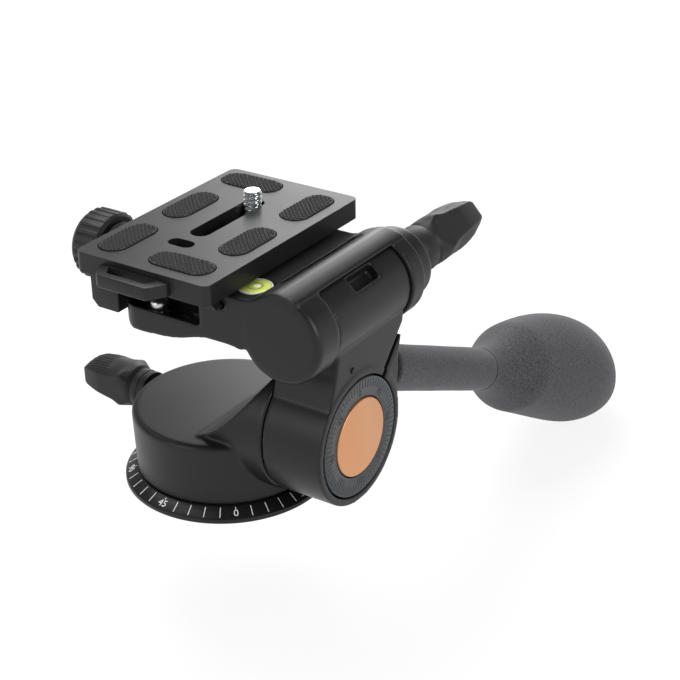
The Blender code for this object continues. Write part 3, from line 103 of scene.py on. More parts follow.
def white_to_the_eye(tree):
    """1 for the rays that show the studio white, 0 for those that only light the head."""
    path = tree.nodes.new("ShaderNodeLightPath")
    first = tree.nodes.new("ShaderNodeMath")
    first.operation = "MAXIMUM"
    second = tree.nodes.new("ShaderNodeMath")
    second.operation = "MAXIMUM"
    tree.links.new(path.outputs["Is Camera Ray"], first.inputs[0])
    tree.links.new(path.outputs["Is Glossy Ray"], first.inputs[1])
    tree.links.new(first.outputs[0], second.inputs[0])
    tree.links.new(path.outputs["Is Transmission Ray"], second.inputs[1])
    return second.outputs[0]


world = bpy.data.worlds.new("studio")
bpy.context.scene.world = world
world.use_nodes = True
sky = world.node_tree
sky_light = sky.nodes["Background"]
sky_light.inputs["Color"].default_value = (0.42, 0.43, 0.45, 1.0)
sky_way = sky.nodes.new("ShaderNodeTexCoord")
sky_parts = sky.nodes.new("ShaderNodeSeparateXYZ")
sky_ramp = sky.nodes.new("ShaderNodeValToRGB")
sky_ramp.color_ramp.interpolation = "EASE"
sky_ramp.color_ramp.elements[0].position = 0.05
sky_ramp.color_ramp.elements[0].color = (1.0, 1.0, 1.0, 1.0)
sky_ramp.color_ramp.elements[1].position = 0.55
sky_ramp.color_ramp.elements[1].color = (0.12, 0.12, 0.12, 1.0)
sky_white = sky.nodes.new("ShaderNodeBackground")
sky.links.new(sky_way.outputs["Generated"], sky_parts.inputs[0])
sky.links.new(sky_parts.outputs["Z"], sky_ramp.inputs["Fac"])
sky_path = sky.nodes.new("ShaderNodeLightPath")
sky_seen = sky.nodes.new("ShaderNodeMix")
sky_seen.data_type = "RGBA"
sky_seen.inputs["B"].default_value = (1.0, 1.0, 1.0, 1.0)
sky.links.new(sky_path.outputs["Is Camera Ray"], sky_seen.inputs["Factor"])
sky.links.new(sky_ramp.outputs["Color"], sky_seen.inputs["A"])
sky.links.new(sky_seen.outputs["Result"], sky_white.inputs["Color"])
sky_mix = sky.nodes.new("ShaderNodeMixShader")
sky.links.new(white_to_the_eye(sky), sky_mix.inputs["Fac"])
sky.links.new(sky_light.outputs[0], sky_mix.inputs[1])
sky.links.new(sky_white.outputs[0], sky_mix.inputs[2])
sky.links.new(sky_mix.outputs[0], sky.nodes["World Output"].inputs["Surface"])

FLOOR_HALF = 3.0
FLOOR_DROP = 0.001
floor_work = bmesh.new()
bmesh.ops.create_grid(floor_work, x_segments=1, y_segments=1, size=FLOOR_HALF)
floor_mesh = bpy.data.meshes.new("floor")
floor_work.to_mesh(floor_mesh)
floor_work.free()
floor = bpy.data.objects.new("floor", floor_mesh)
floor.location = (0.0, 0.0, cad_low.z - FLOOR_DROP)
bpy.context.scene.collection.objects.link(floor)
floor_paper = bpy.data.materials.new("floor_paper")
floor_paper.use_nodes = True
paper = floor_paper.node_tree
paper.nodes["Principled BSDF"].inputs["Base Color"].default_value = (0.88, 0.88, 0.88, 1.0)
paper.nodes["Principled BSDF"].inputs["Roughness"].default_value = 0.9
paper_white = paper.nodes.new("ShaderNodeEmission")
paper_share = paper.nodes.new("ShaderNodeMath")
paper_share.operation = "MULTIPLY"
paper_share.inputs[1].default_value = 0.86
paper_mix = paper.nodes.new("ShaderNodeMixShader")
paper.links.new(white_to_the_eye(paper), paper_share.inputs[0])
paper.links.new(paper_share.outputs[0], paper_mix.inputs["Fac"])
paper.links.new(paper.nodes["Principled BSDF"].outputs[0], paper_mix.inputs[1])
paper.links.new(paper_white.outputs[0], paper_mix.inputs[2])
paper.links.new(paper_mix.outputs[0], paper.nodes["Material Output"].inputs["Surface"])
floor.data.materials.append(floor_paper)

# Scale disc
# The foot of the head: a turned and black-painted alloy disc. Its outer land
# slopes down to a thin rim and carries the white degree scale of the pan.
GAP = 0.0003
FINE = 192
MEDIUM = 96
COARSE = 48
DISC_RADIUS = 0.0300
DISC_RIM = 0.0014
LAND_OUTER = 0.0296
LAND_OUTER_Z = 0.0017
LAND_INNER = 0.0263
DISC_TOP = 0.0036
SOCKET = 0.0070


def new_group(name, inputs, outputs):
    """A shader group with plain sockets, given as (name, default) and (name, kind)."""
    group = bpy.data.node_groups.new(name, "ShaderNodeTree")
    for label, value in inputs:
        socket = group.interface.new_socket(label, in_out="INPUT", socket_type="NodeSocketFloat")
        socket.default_value = value
    for label, kind in outputs:
        group.interface.new_socket(label, in_out="OUTPUT", socket_type=kind)
    return group, group.nodes.new("NodeGroupInput"), group.nodes.new("NodeGroupOutput")


# Broad blotches and a fine tooth, shared by every finish of the head
grain, grain_in, grain_out = new_group(
    "surface_grain",
    (("Blotch Scale", 60.0), ("Tooth Scale", 2500.0)),
    (("Blotch", "NodeSocketFloat"), ("Tooth", "NodeSocketFloat")),
)
grain_place = grain.nodes.new("ShaderNodeTexCoord")
blotch = grain.nodes.new("ShaderNodeTexNoise")
blotch.inputs["Detail"].default_value = 3.0
tooth = grain.nodes.new("ShaderNodeTexNoise")
tooth.inputs["Detail"].default_value = 4.0
tooth.inputs["Roughness"].default_value = 0.6
grain.links.new(grain_place.outputs["Object"], blotch.inputs["Vector"])
grain.links.new(grain_place.outputs["Object"], tooth.inputs["Vector"])
grain.links.new(grain_in.outputs["Blotch Scale"], blotch.inputs["Scale"])
grain.links.new(grain_in.outputs["Tooth Scale"], tooth.inputs["Scale"])
grain.links.new(blotch.outputs["Fac"], grain_out.inputs["Blotch"])
grain.links.new(tooth.outputs["Fac"], grain_out.inputs["Tooth"])

# Where paint thins on an outside edge, from how sharply the surface bends
rub, rub_in, rub_out = new_group("edge_rub", (("Amount", 0.5),), (("Rub", "NodeSocketFloat"),))
rub_shape = rub.nodes.new("ShaderNodeNewGeometry")
rub_range = rub.nodes.new("ShaderNodeMapRange")
rub_range.inputs["From Min"].default_value = 0.53
rub_range.inputs["From Max"].default_value = 0.62
rub_share = rub.nodes.new("ShaderNodeMath")
rub_share.operation = "MULTIPLY"
rub.links.new(rub_shape.outputs["Pointiness"], rub_range.inputs["Value"])
rub.links.new(rub_range.outputs["Result"], rub_share.inputs[0])
rub.links.new(rub_in.outputs["Amount"], rub_share.inputs[1])
rub.links.new(rub_share.outputs[0], rub_out.inputs["Rub"])


def finish(
    name,
    dark,
    pale,
    rough_low,
    rough_high,
    metallic=0.0,
    sheen=0.5,
    blotches=60.0,
    tooth_scale=2500.0,
    bump=0.15,
    depth=0.00002,
    edge=0.0,
):
    """A finish whose colour and gloss wander between two values over the grain."""
    made = bpy.data.materials.new(name)
    made.use_nodes = True
    tree = made.node_tree
    shader = tree.nodes["Principled BSDF"]
    shader.inputs["Metallic"].default_value = metallic
    shader.inputs["Specular IOR Level"].default_value = sheen
    surface = tree.nodes.new("ShaderNodeGroup")
    surface.node_tree = grain
    surface.inputs["Blotch Scale"].default_value = blotches
    surface.inputs["Tooth Scale"].default_value = tooth_scale
    tint = tree.nodes.new("ShaderNodeMix")
    tint.data_type = "RGBA"
    tint.inputs["A"].default_value = (*dark, 1.0)
    tint.inputs["B"].default_value = (*pale, 1.0)
    tree.links.new(surface.outputs["Blotch"], tint.inputs["Factor"])
    colour = tint.outputs["Result"]
    if edge > 0.0:
        wear = tree.nodes.new("ShaderNodeGroup")
        wear.node_tree = rub
        wear.inputs["Amount"].default_value = edge
        worn = tree.nodes.new("ShaderNodeMix")
        worn.data_type = "RGBA"
        worn.inputs["B"].default_value = (0.045, 0.045, 0.048, 1.0)
        tree.links.new(wear.outputs["Rub"], worn.inputs["Factor"])
        tree.links.new(colour, worn.inputs["A"])
        colour = worn.outputs["Result"]
    tree.links.new(colour, shader.inputs["Base Color"])
    gloss = tree.nodes.new("ShaderNodeMapRange")
    gloss.inputs["To Min"].default_value = rough_low
    gloss.inputs["To Max"].default_value = rough_high
    tree.links.new(surface.outputs["Blotch"], gloss.inputs["Value"])
    tree.links.new(gloss.outputs["Result"], shader.inputs["Roughness"])
    relief = tree.nodes.new("ShaderNodeBump")
    relief.inputs["Strength"].default_value = bump
    relief.inputs["Distance"].default_value = depth
    tree.links.new(surface.outputs["Tooth"], relief.inputs["Height"])
    tree.links.new(relief.outputs["Normal"], shader.inputs["Normal"])
    return made


black_paint = finish(
    "black_paint",
    (0.0070, 0.0070, 0.0076),
    (0.0100, 0.0100, 0.0108),
    0.33,
    0.42,
    sheen=0.28,
    edge=0.35,
)
scale_white = finish("scale_white", (0.72, 0.72, 0.72), (0.82, 0.82, 0.81), 0.45, 0.55)


def add(item):
    bpy.context.scene.collection.objects.link(item)
    return item


def settle(item, place=None, paint=None, crease=35.0):
    """Turn an object with its modifiers into a plain mesh whose object stands at the origin."""
    bpy.context.view_layer.update()
    graph = bpy.context.evaluated_depsgraph_get()
    mesh = bpy.data.meshes.new_from_object(item.evaluated_get(graph), depsgraph=graph)
    mesh.transform(item.matrix_world)
    if place is not None:
        mesh.transform(place)
    name = item.name
    bpy.data.objects.remove(item, do_unlink=True)
    work = bmesh.new()
    work.from_mesh(mesh)
    bmesh.ops.remove_doubles(work, verts=work.verts, dist=0.0000005)
    bmesh.ops.recalc_face_normals(work, faces=work.faces)
    work.to_mesh(mesh)
    work.free()
    mesh.name = name
    mesh.shade_smooth()
    mesh.set_sharp_from_angle(angle=math.radians(crease))
    if paint is not None:
        mesh.materials.clear()
        mesh.materials.append(paint)
    return add(bpy.data.objects.new(name, mesh))


def towards(origin, axis):
    """The place that carries +Z onto an axis through origin."""
    return Matrix.Translation(Vector(origin)) @ Vector(axis).to_track_quat("Z", "Y").to_matrix().to_4x4()


def turn(name, profile, place=None, paint=None, steps=MEDIUM, ring=False, edge=0.0, segments=3):
    """Turn a profile of (radius, height) pairs, with its corners rounded by edge."""
    work = bmesh.new()
    points = [work.verts.new((radius, 0.0, height)) for radius, height in profile]
    for first, second in zip(points, points[1:]):
        work.edges.new((first, second))
    if ring:
        work.edges.new((points[-1], points[0]))
    mesh = bpy.data.meshes.new(name)
    work.to_mesh(mesh)
    work.free()
    item = add(bpy.data.objects.new(name, mesh))
    screw = item.modifiers.new("turn", "SCREW")
    screw.steps = steps
    screw.render_steps = steps
    screw.use_merge_vertices = True
    screw.merge_threshold = 0.000001
    if edge > 0.0:
        bevel = item.modifiers.new("edge", "BEVEL")
        bevel.width = edge
        bevel.segments = segments
        bevel.limit_method = "ANGLE"
        bevel.angle_limit = math.radians(25.0)
        bevel.harden_normals = True
    return settle(item, place, paint)


def bar(name, radius, start, end, paint=None, steps=MEDIUM, edge=0.0):
    """A round bar between two points."""
    start = Vector(start)
    length = (Vector(end) - start).length
    profile = [(0.0, length), (radius, length), (radius, 0.0), (0.0, 0.0)]
    return turn(name, profile, towards(start, Vector(end) - start), paint, steps, edge=edge)


scale_disc = turn(
    "scale_disc",
    [
        (SOCKET, DISC_TOP),
        (LAND_INNER, DISC_TOP),
        (LAND_OUTER, LAND_OUTER_Z),
        (DISC_RADIUS, DISC_RIM),
        (DISC_RADIUS, GAP),
        (DISC_RADIUS - GAP, 0.0),
        (SOCKET, 0.0),
    ],
    paint=black_paint,
    steps=FINE,
    ring=True,
    edge=0.00012,
)
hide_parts("base_disc")
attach(scale_disc, "base")


def repeat_tree():
    """Copies of a shape turned step by step about Z, leaving out every nth where the numbers stand."""
    tree = bpy.data.node_groups.new("ring_of_marks", "GeometryNodeTree")
    tree.interface.new_socket("Geometry", in_out="INPUT", socket_type="NodeSocketGeometry")
    for label, kind, value in (
        ("Count", "NodeSocketInt", 40),
        ("Start Angle", "NodeSocketFloat", 0.0),
        ("Step Angle", "NodeSocketFloat", 0.1),
        ("Leave Out Every", "NodeSocketInt", 0),
        ("Finish", "NodeSocketMaterial", None),
    ):
        socket = tree.interface.new_socket(label, in_out="INPUT", socket_type=kind)
        if value is not None:
            socket.default_value = value
    tree.interface.new_socket("Geometry", in_out="OUTPUT", socket_type="NodeSocketGeometry")
    given = tree.nodes.new("NodeGroupInput")
    result = tree.nodes.new("NodeGroupOutput")
    line = tree.nodes.new("GeometryNodeMeshLine")
    line.inputs["Offset"].default_value = (0.0, 0.0, 0.0)
    index = tree.nodes.new("GeometryNodeInputIndex")
    angle = tree.nodes.new("ShaderNodeMath")
    angle.operation = "MULTIPLY_ADD"
    about = tree.nodes.new("ShaderNodeCombineXYZ")
    turn_to = tree.nodes.new("FunctionNodeEulerToRotation")
    place = tree.nodes.new("GeometryNodeInstanceOnPoints")
    number = tree.nodes.new("ShaderNodeMath")
    number.operation = "FLOORED_MODULO"
    kept = tree.nodes.new("FunctionNodeCompare")
    kept.operation = "GREATER_THAN"
    kept.inputs["B"].default_value = 0.5
    never = tree.nodes.new("FunctionNodeCompare")
    never.operation = "LESS_THAN"
    never.inputs["B"].default_value = 0.5
    either = tree.nodes.new("FunctionNodeBooleanMath")
    either.operation = "OR"
    real = tree.nodes.new("GeometryNodeRealizeInstances")
    paint = tree.nodes.new("GeometryNodeSetMaterial")
    link = tree.links.new
    link(given.outputs["Count"], line.inputs["Count"])
    link(index.outputs[0], angle.inputs[0])
    link(given.outputs["Step Angle"], angle.inputs[1])
    link(given.outputs["Start Angle"], angle.inputs[2])
    link(angle.outputs[0], about.inputs["Z"])
    link(about.outputs[0], turn_to.inputs[0])
    link(line.outputs[0], place.inputs["Points"])
    link(given.outputs["Geometry"], place.inputs["Instance"])
    link(turn_to.outputs[0], place.inputs["Rotation"])
    link(index.outputs[0], number.inputs[0])
    link(given.outputs["Leave Out Every"], number.inputs[1])
    link(number.outputs[0], kept.inputs["A"])
    link(given.outputs["Leave Out Every"], never.inputs["A"])
    link(kept.outputs[0], either.inputs[0])
    link(never.outputs[0], either.inputs[1])
    link(either.outputs[0], place.inputs["Selection"])
    link(place.outputs[0], real.inputs[0])
    link(real.outputs[0], paint.inputs["Geometry"])
    link(given.outputs["Finish"], paint.inputs["Material"])
    link(paint.outputs[0], result.inputs[0])
    return tree


ring_of_marks = repeat_tree()


def set_inputs(change, **values):
    """Give a geometry tree its values by the socket's own identifier."""
    sockets = {socket.name: socket.identifier for socket in change.node_group.interface.items_tree}
    for label, value in values.items():
        change[sockets[label.replace("_", " ")]] = value


def box_mesh(name, low, high):
    """A small block between two corners."""
    work = bmesh.new()
    size = Vector(high) - Vector(low)
    centre = (Vector(high) + Vector(low)) / 2.0
    bmesh.ops.create_cube(work, size=1.0, matrix=Matrix.Translation(centre) @ Matrix.Diagonal((*size, 1.0)))
    mesh = bpy.data.meshes.new(name)
    work.to_mesh(mesh)
    work.free()
    return mesh


def ring_copies(name, mesh, count, start, step, paint, leave_out=0, place=None):
    """Marks or ribs round a circle, as one plain mesh."""
    item = add(bpy.data.objects.new(name, mesh))
    change = item.modifiers.new("marks", "NODES")
    change.node_group = ring_of_marks
    set_inputs(
        change,
        Count=count,
        Start_Angle=start,
        Step_Angle=step,
        Leave_Out_Every=leave_out,
        Finish=paint,
    )
    return settle(item, place, paint)


# White strokes of the pan scale, printed every nine degrees on the sloping land
LABEL_BEARING = math.radians(-48.85)
STROKE_STEP = math.radians(9.0)
STROKE_COUNT = 40
STROKE_HALF = 0.00012
STROKE_PROUD = 0.00003
STROKE_INNER = 0.02665
STROKE_OUTER = 0.02940
land_slope = math.atan2(LAND_OUTER_Z - DISC_TOP, LAND_OUTER - LAND_INNER)


def on_land(radius):
    return DISC_TOP + (radius - LAND_INNER) * math.tan(land_slope)


def stroke_mesh(name, inner, outer):
    """One printed stroke lying on the land at bearing zero."""
    length = (outer - inner) / math.cos(land_slope)
    mesh = box_mesh(name, (0.0, -STROKE_HALF, -STROKE_PROUD), (length, STROKE_HALF, STROKE_PROUD))
    mesh.transform(Matrix.Translation((inner, 0.0, on_land(inner))) @ Matrix.Rotation(-land_slope, 4, "Y"))
    return mesh


pan_strokes = ring_copies(
    "pan_strokes",
    stroke_mesh("stroke", STROKE_INNER, STROKE_OUTER),
    STROKE_COUNT,
    LABEL_BEARING,
    STROKE_STEP,
    scale_white,
    leave_out=5,
)
pan_short_strokes = ring_copies(
    "pan_short_strokes",
    stroke_mesh("short_stroke", STROKE_INNER, STROKE_INNER + 0.0005),
    STROKE_COUNT // 5,
    LABEL_BEARING,
    STROKE_STEP * 5,
    scale_white,
)
LABEL_SIZE = 0.0029
LABEL_RADIUS = 0.0283


def printed(name, words, size, place, paint, thickness=STROKE_PROUD):
    """A printed number as a thin mesh in its place."""
    letters = bpy.data.curves.new(name, "FONT")
    letters.body = words
    letters.size = size
    letters.align_x = "CENTER"
    letters.align_y = "CENTER"
    letters.extrude = thickness
    item = add(bpy.data.objects.new(name, letters))
    return settle(item, place, paint)


for number in range(8):
    bearing = LABEL_BEARING - number * 5 * STROKE_STEP
    outward = Vector((math.cos(bearing), math.sin(bearing), 0.0))
    along = Vector((-math.sin(bearing), math.cos(bearing), 0.0))
    up_land = (outward * -math.cos(land_slope) + Vector((0.0, 0.0, -math.sin(land_slope)))).normalized()
    facing = along.cross(up_land)
    spot = outward * LABEL_RADIUS + Vector((0.0, 0.0, on_land(LABEL_RADIUS)))
    turned_to = Matrix((along, up_land, facing)).transposed().to_4x4()
    stand = Matrix.Translation(spot) @ turned_to
    label = printed(f"pan_number_{number}", str(45 * number), LABEL_SIZE, stand, scale_white)
    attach(label, "base")
for marks in (pan_strokes, pan_short_strokes):
    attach(marks, "base")

# Turret casting
# A die-cast drum that turns on the disc. It runs out into the round boss of
# the tilt shaft, and one hollow ramp leads from its flat top up to the seam.
DRUM_FOOT = 0.0263
DRUM_TOP = 0.0269
DRUM_Z = 0.0225
DRUM_EDGE = 0.0011
DRUM_EDGE_HALF = 0.00033
BOSS = 0.0200
TILT_Z = 0.0249
SEAM = 0.0270
RAMP_START = 0.0030
RAMP_Z = 0.0455
RAMP_POWER = 1.7
RAMP_STEPS = 60


def outline_solid(name, points, plane, start, end):
    """A flat outline drawn out along the third axis."""
    curve = bpy.data.curves.new(name, "CURVE")
    curve.dimensions = "2D"
    curve.fill_mode = "BOTH"
    curve.extrude = abs(end - start) / 2.0
    spline = curve.splines.new("POLY")
    spline.points.add(len(points) - 1)
    for point, (first, second) in zip(spline.points, points):
        point.co = (first, second, 0.0, 1.0)
    spline.use_cyclic_u = True
    item = add(bpy.data.objects.new(name, curve))
    middle = (start + end) / 2.0
    stand = {
        "XY": Matrix(((1, 0, 0, 0), (0, 1, 0, 0), (0, 0, 1, middle), (0, 0, 0, 1))),
        "XZ": Matrix(((1, 0, 0, 0), (0, 0, 1, middle), (0, 1, 0, 0), (0, 0, 0, 1))),
        "YZ": Matrix(((0, 0, 1, middle), (1, 0, 0, 0), (0, 1, 0, 0), (0, 0, 0, 1))),
    }[plane]
    solid = settle(item, stand)
    work = bmesh.new()
    work.from_mesh(solid.data)
    bmesh.ops.remove_doubles(work, verts=work.verts, dist=0.000001)
    bmesh.ops.recalc_face_normals(work, faces=work.faces)
    work.to_mesh(solid.data)
    work.free()
    return solid


def block(name, low, high):
    return add(bpy.data.objects.new(name, box_mesh(name, low, high)))


def carve(item, joined=(), cut=(), kept=()):
    """Join, cut or keep by other solids, then drop those solids."""
    tools = []
    for group, operation in ((joined, "UNION"), (kept, "INTERSECT"), (cut, "DIFFERENCE")):
        for tool in group:
            change = item.modifiers.new(operation, "BOOLEAN")
            change.operation = operation
            change.solver = "EXACT"
            change.object = tool
            tools.append(tool)
    made = settle(item)
    for tool in tools:
        bpy.data.objects.remove(tool, do_unlink=True)
    return made


def cast(item, grain_size, passes, paint):
    """Give a solid the soft edges and fillets of a casting."""
    remesh = item.modifiers.new("mould", "REMESH")
    remesh.mode = "VOXEL"
    remesh.voxel_size = grain_size
    ease = item.modifiers.new("ease", "SMOOTH")
    ease.factor = 0.5
    ease.iterations = passes
    return settle(item, None, paint, crease=180.0)


ramp_outline = [(0.0, DRUM_Z - DRUM_EDGE)]
for step in range(RAMP_STEPS + 1):
    share = step / RAMP_STEPS
    ramp_height = DRUM_Z - GAP + (RAMP_Z - DRUM_Z) * share**RAMP_POWER
    ramp_outline.append((RAMP_START + share * (SEAM - RAMP_START), ramp_height))
ramp_outline.append((SEAM, DISC_TOP + GAP))
ramp_outline.append((0.0, DISC_TOP + GAP))
boss = carve(
    bar("boss", BOSS, (0.0, 0.0, TILT_Z), (SEAM, 0.0, TILT_Z), steps=FINE),
    kept=[outline_solid("ramp", ramp_outline, "XZ", -0.04, 0.04)],
)
turret = turn(
    "turret_casting",
    [
        (0.0, DRUM_Z),
        (DRUM_TOP - DRUM_EDGE, DRUM_Z),
        (DRUM_TOP - DRUM_EDGE_HALF, DRUM_Z - DRUM_EDGE_HALF),
        (DRUM_TOP, DRUM_Z - DRUM_EDGE),
        (DRUM_FOOT, DISC_TOP + GAP),
        (0.0, DISC_TOP + GAP),
    ],
    steps=FINE,
)
turret_hollow = turn(
    "turret_hollow",
    [
        (0.0, 0.0183),
        (0.0028, 0.0183),
        (0.0028, 0.0133),
        (0.0065, 0.0133),
        (0.0065, 0.0195),
        (0.0128, 0.0195),
        (0.0128, 0.0048),
        (0.0245, 0.0048),
        (0.0245, -0.0020),
        (0.0, -0.0020),
    ],
)
shaft_root_bore = bar("shaft_root_bore", 0.0065, (0.0195, 0.0, TILT_Z), (0.0290, 0.0, TILT_Z))
LOCK_BEARING = math.radians(176.5)
LOCK_Z = 0.0165
lock_way = Vector((math.cos(LOCK_BEARING), math.sin(LOCK_BEARING), 0.0))
lock_centre = Vector((0.0, 0.0, LOCK_Z))
LOCK_BORE = 0.0025
lock_bore = bar(
    "lock_bore",
    LOCK_BORE,
    lock_centre + lock_way * 0.0122,
    lock_centre + lock_way * 0.0290,
    steps=COARSE,
)
turret = carve(turret, joined=[boss], cut=[turret_hollow, shaft_root_bore, lock_bore])
turret = cast(turret, 0.00042, 10, black_paint)
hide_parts("pan_body")
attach(turret, "turret")

# Tilt arm casting
# One black casting: a split hub that clamps the turret's shaft, a web, and on
# top the barrel of the side roll with its stop notch.
ARM_FACE = 0.0461
HUB = 0.0198
ROLL_X = 0.0360
ROLL_Z = 0.0609
BARREL = 0.0120
BARREL_FRONT = -0.0117
BARREL_REAR = 0.0228
SLOT_BEARING = math.radians(47.5)
SLOT_HALF = 0.0009
WEB_OUTLINE = (
    (-0.0150, 0.0350),
    (-0.0140, 0.0390),
    (-0.0127, 0.0424),
    (-0.0107, 0.0477),
    (-0.0094, 0.0540),
    (-0.0092, ROLL_Z),
    (0.0228, ROLL_Z),
    (0.0228, 0.0535),
    (0.0222, 0.0490),
    (0.0214, 0.0462),
    (0.0208, 0.0440),
    (0.0203, 0.0420),
    (0.0199, 0.0355),
    (0.0194, 0.0282),
    (0.0100, 0.0200),
    (-0.0100, 0.0250),
)
tilt_centre = Vector((0.0, 0.0, TILT_Z))
arm = outline_solid("tilt_arm_casting", WEB_OUTLINE, "YZ", SEAM + GAP, ARM_FACE - GAP)
arm_hub = bar("arm_hub", HUB, (SEAM + GAP, 0.0, TILT_Z), (ARM_FACE, 0.0, TILT_Z), steps=FINE)
arm_barrel = bar(
    "arm_barrel",
    BARREL,
    (ROLL_X, BARREL_FRONT, ROLL_Z),
    (ROLL_X, BARREL_REAR, ROLL_Z),
    steps=FINE,
)
hub_bore = bar("hub_bore", 0.0113, (0.0250, 0.0, TILT_Z), (0.0480, 0.0, TILT_Z), steps=FINE)
dial_bore = bar("dial_bore", 0.0177, (0.0412, 0.0, TILT_Z), (0.0480, 0.0, TILT_Z), steps=FINE)
washer_bore = bar("washer_bore", 0.0170, (0.0250, 0.0, TILT_Z), (0.0283, 0.0, TILT_Z), steps=FINE)
barrel_bore = bar("barrel_bore", 0.0068, (ROLL_X, -0.0150, ROLL_Z), (ROLL_X, 0.0260, ROLL_Z), steps=FINE)
slot_tool = block("slot_tool", (0.0250, 0.0105, -SLOT_HALF), (0.0480, 0.0400, SLOT_HALF))
slot_tool.data.transform(Matrix.Translation(tilt_centre) @ Matrix.Rotation(SLOT_BEARING, 4, "X"))
HANDLE_ROOT = Vector((0.0365, 0.0200, 0.0347))
HANDLE_DROOP = math.radians(24.9)
ROD = 0.0040
handle_way = Vector((0.0, math.cos(HANDLE_DROOP), -math.sin(HANDLE_DROOP)))
handle_up = Vector((0.0, math.sin(HANDLE_DROOP), math.cos(HANDLE_DROOP)))
rod_bore = bar(
    "rod_bore",
    ROD + 2.0 * GAP,
    HANDLE_ROOT + handle_way * -0.0153,
    HANDLE_ROOT + handle_way * 0.0300,
    steps=COARSE,
)
notch_points = []
for radius, angle in ((0.0090, 38.5), (0.0090, 60.5), (0.0140, 60.5), (0.0140, 38.5)):
    bearing = math.radians(angle)
    notch_points.append((ROLL_X + radius * math.cos(bearing), ROLL_Z + radius * math.sin(bearing)))
notch = outline_solid("notch", notch_points, "XZ", 0.0, 0.0117)
arm = carve(
    arm,
    joined=[arm_hub, arm_barrel],
    cut=[hub_bore, dial_bore, washer_bore, slot_tool, rod_bore, barrel_bore, notch],
)
arm = cast(arm, 0.00039, 7, black_paint)
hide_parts("tilt_arm")
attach(arm, "arm")
# The short drop-shaped mark above the dial that the degrees are read against
INDEX_Y = -0.0027
INDEX_Z = 0.0464
INDEX_RADIUS = 0.0009
index_shape = bar(
    "index_mark",
    INDEX_RADIUS,
    (ARM_FACE - 0.0002, INDEX_Y, INDEX_Z),
    (ARM_FACE + 0.00004, INDEX_Y, INDEX_Z),
    steps=COARSE,
)
index_dark = finish("index_dark", (0.006, 0.006, 0.006), (0.010, 0.010, 0.010), 0.6, 0.7)
index_shape.data.materials.append(index_dark)
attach(index_shape, "arm")

# Tilt dial and copper cap
# A dark grey ring, turned and anodised, is screwed to the shaft's end, so it
# stays with the turret. Its marks are engraved. A satin copper disc fills it.
DIAL = 0.0172
dial_grey = finish("dial_grey", (0.030, 0.032, 0.035), (0.038, 0.040, 0.044), 0.36, 0.44, sheen=0.35)
mark_black = finish("mark_black", (0.004, 0.004, 0.005), (0.008, 0.008, 0.008), 0.5, 0.6)
along_x = towards((0.0, 0.0, TILT_Z), (1.0, 0.0, 0.0))
dial = turn(
    "dial_ring",
    [
        (0.0117, ARM_FACE),
        (DIAL, ARM_FACE),
        (DIAL, 0.0415),
        (0.0028, 0.0415),
        (0.0028, 0.0425),
        (0.0095, 0.0425),
        (0.0095, 0.0449),
        (0.0117, 0.0449),
    ],
    along_x,
    dial_grey,
    steps=FINE,
    ring=True,
    edge=0.00025,
)
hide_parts("tilt_dial")
copper = finish(
    "satin_copper",
    (0.56, 0.26, 0.12),
    (0.64, 0.32, 0.16),
    0.38,
    0.46,
    metallic=0.7,
    blotches=25.0,
)
cap = turn(
    "copper_cap",
    [(0.0, 0.0464), (0.0113, 0.0464), (0.0113, 0.0452), (0.0, 0.0452)],
    along_x,
    copper,
    steps=FINE,
    edge=0.00035,
)
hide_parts("shaft_cap")
DIAL_TICKS = 72
DIAL_NUMBER_SIZE = 0.0026
DIAL_NUMBER_RADIUS = 0.0134
tick = box_mesh("dial_tick", (0.0143, -0.00013, -0.00002), (0.0167, 0.00013, 0.00004))
dial_face = towards((ARM_FACE, 0.0, TILT_Z), (1.0, 0.0, 0.0))
dial_ticks = ring_copies(
    "dial_ticks",
    tick,
    DIAL_TICKS,
    0.0,
    2.0 * math.pi / DIAL_TICKS,
    mark_black,
    place=dial_face,
)
dial_pieces = [dial, cap, dial_ticks]
for number in range(8):
    bearing = math.radians(90.0 + 45.0 * number)
    reach = DIAL_NUMBER_RADIUS
    spot = Vector((ARM_FACE, reach * math.cos(bearing), TILT_Z + reach * math.sin(bearing)))
    outward = Vector((0.0, math.cos(bearing), math.sin(bearing)))
    facing = Vector((1.0, 0.0, 0.0))
    along = outward.cross(facing)
    turned_to = Matrix((along, outward, facing)).transposed().to_4x4()
    value = str(abs(45 * number if number < 5 else 360 - 45 * number))
    stand = Matrix.Translation(spot) @ turned_to
    dial_pieces.append(printed(f"dial_number_{number}", value, DIAL_NUMBER_SIZE, stand, mark_black, 0.00004))
for piece in dial_pieces:
    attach(piece, "turret")

# Platform casting
# The yoke of the side roll: two lugs and a roof hold the barrel, and a bowl
# with the dovetail channel reaches out over the turret.
PLATE_X = -0.0009
PLATE_Y = 0.0032
ROOF = 0.0134
ROOF_END = math.radians(62.6)
ROOM = 0.0200
ROOM_FRONT = -0.0120
ROOM_REAR = 0.0231
LUG = 0.0127
LUG_FRONT = -0.0222
LUG_REAR = 0.0292
SHOULDER = 0.0699
CHANNEL = 0.0656
BOWL_LEFT = -0.0180
RIM_Z = 0.0585
platform_points = [
    (BOWL_LEFT + 0.0004, CHANNEL),
    (BOWL_LEFT, RIM_Z),
    (-0.0179, 0.0552),
    (-0.0168, 0.0528),
    (-0.0145, 0.0516),
    (-0.0100, 0.0514),
    (-0.0050, 0.0517),
    (0.0000, 0.0522),
    (0.0040, 0.0531),
    (0.0080, 0.0544),
    (0.0120, 0.0553),
    (0.0190, 0.0554),
    (0.0235, 0.0548),
    (ROLL_X, ROLL_Z),
]
for step in range(3):
    bearing = ROOF_END + step * math.radians(6.0)
    platform_points.append((ROLL_X + ROOF * math.cos(bearing), ROLL_Z + ROOF * math.sin(bearing)))
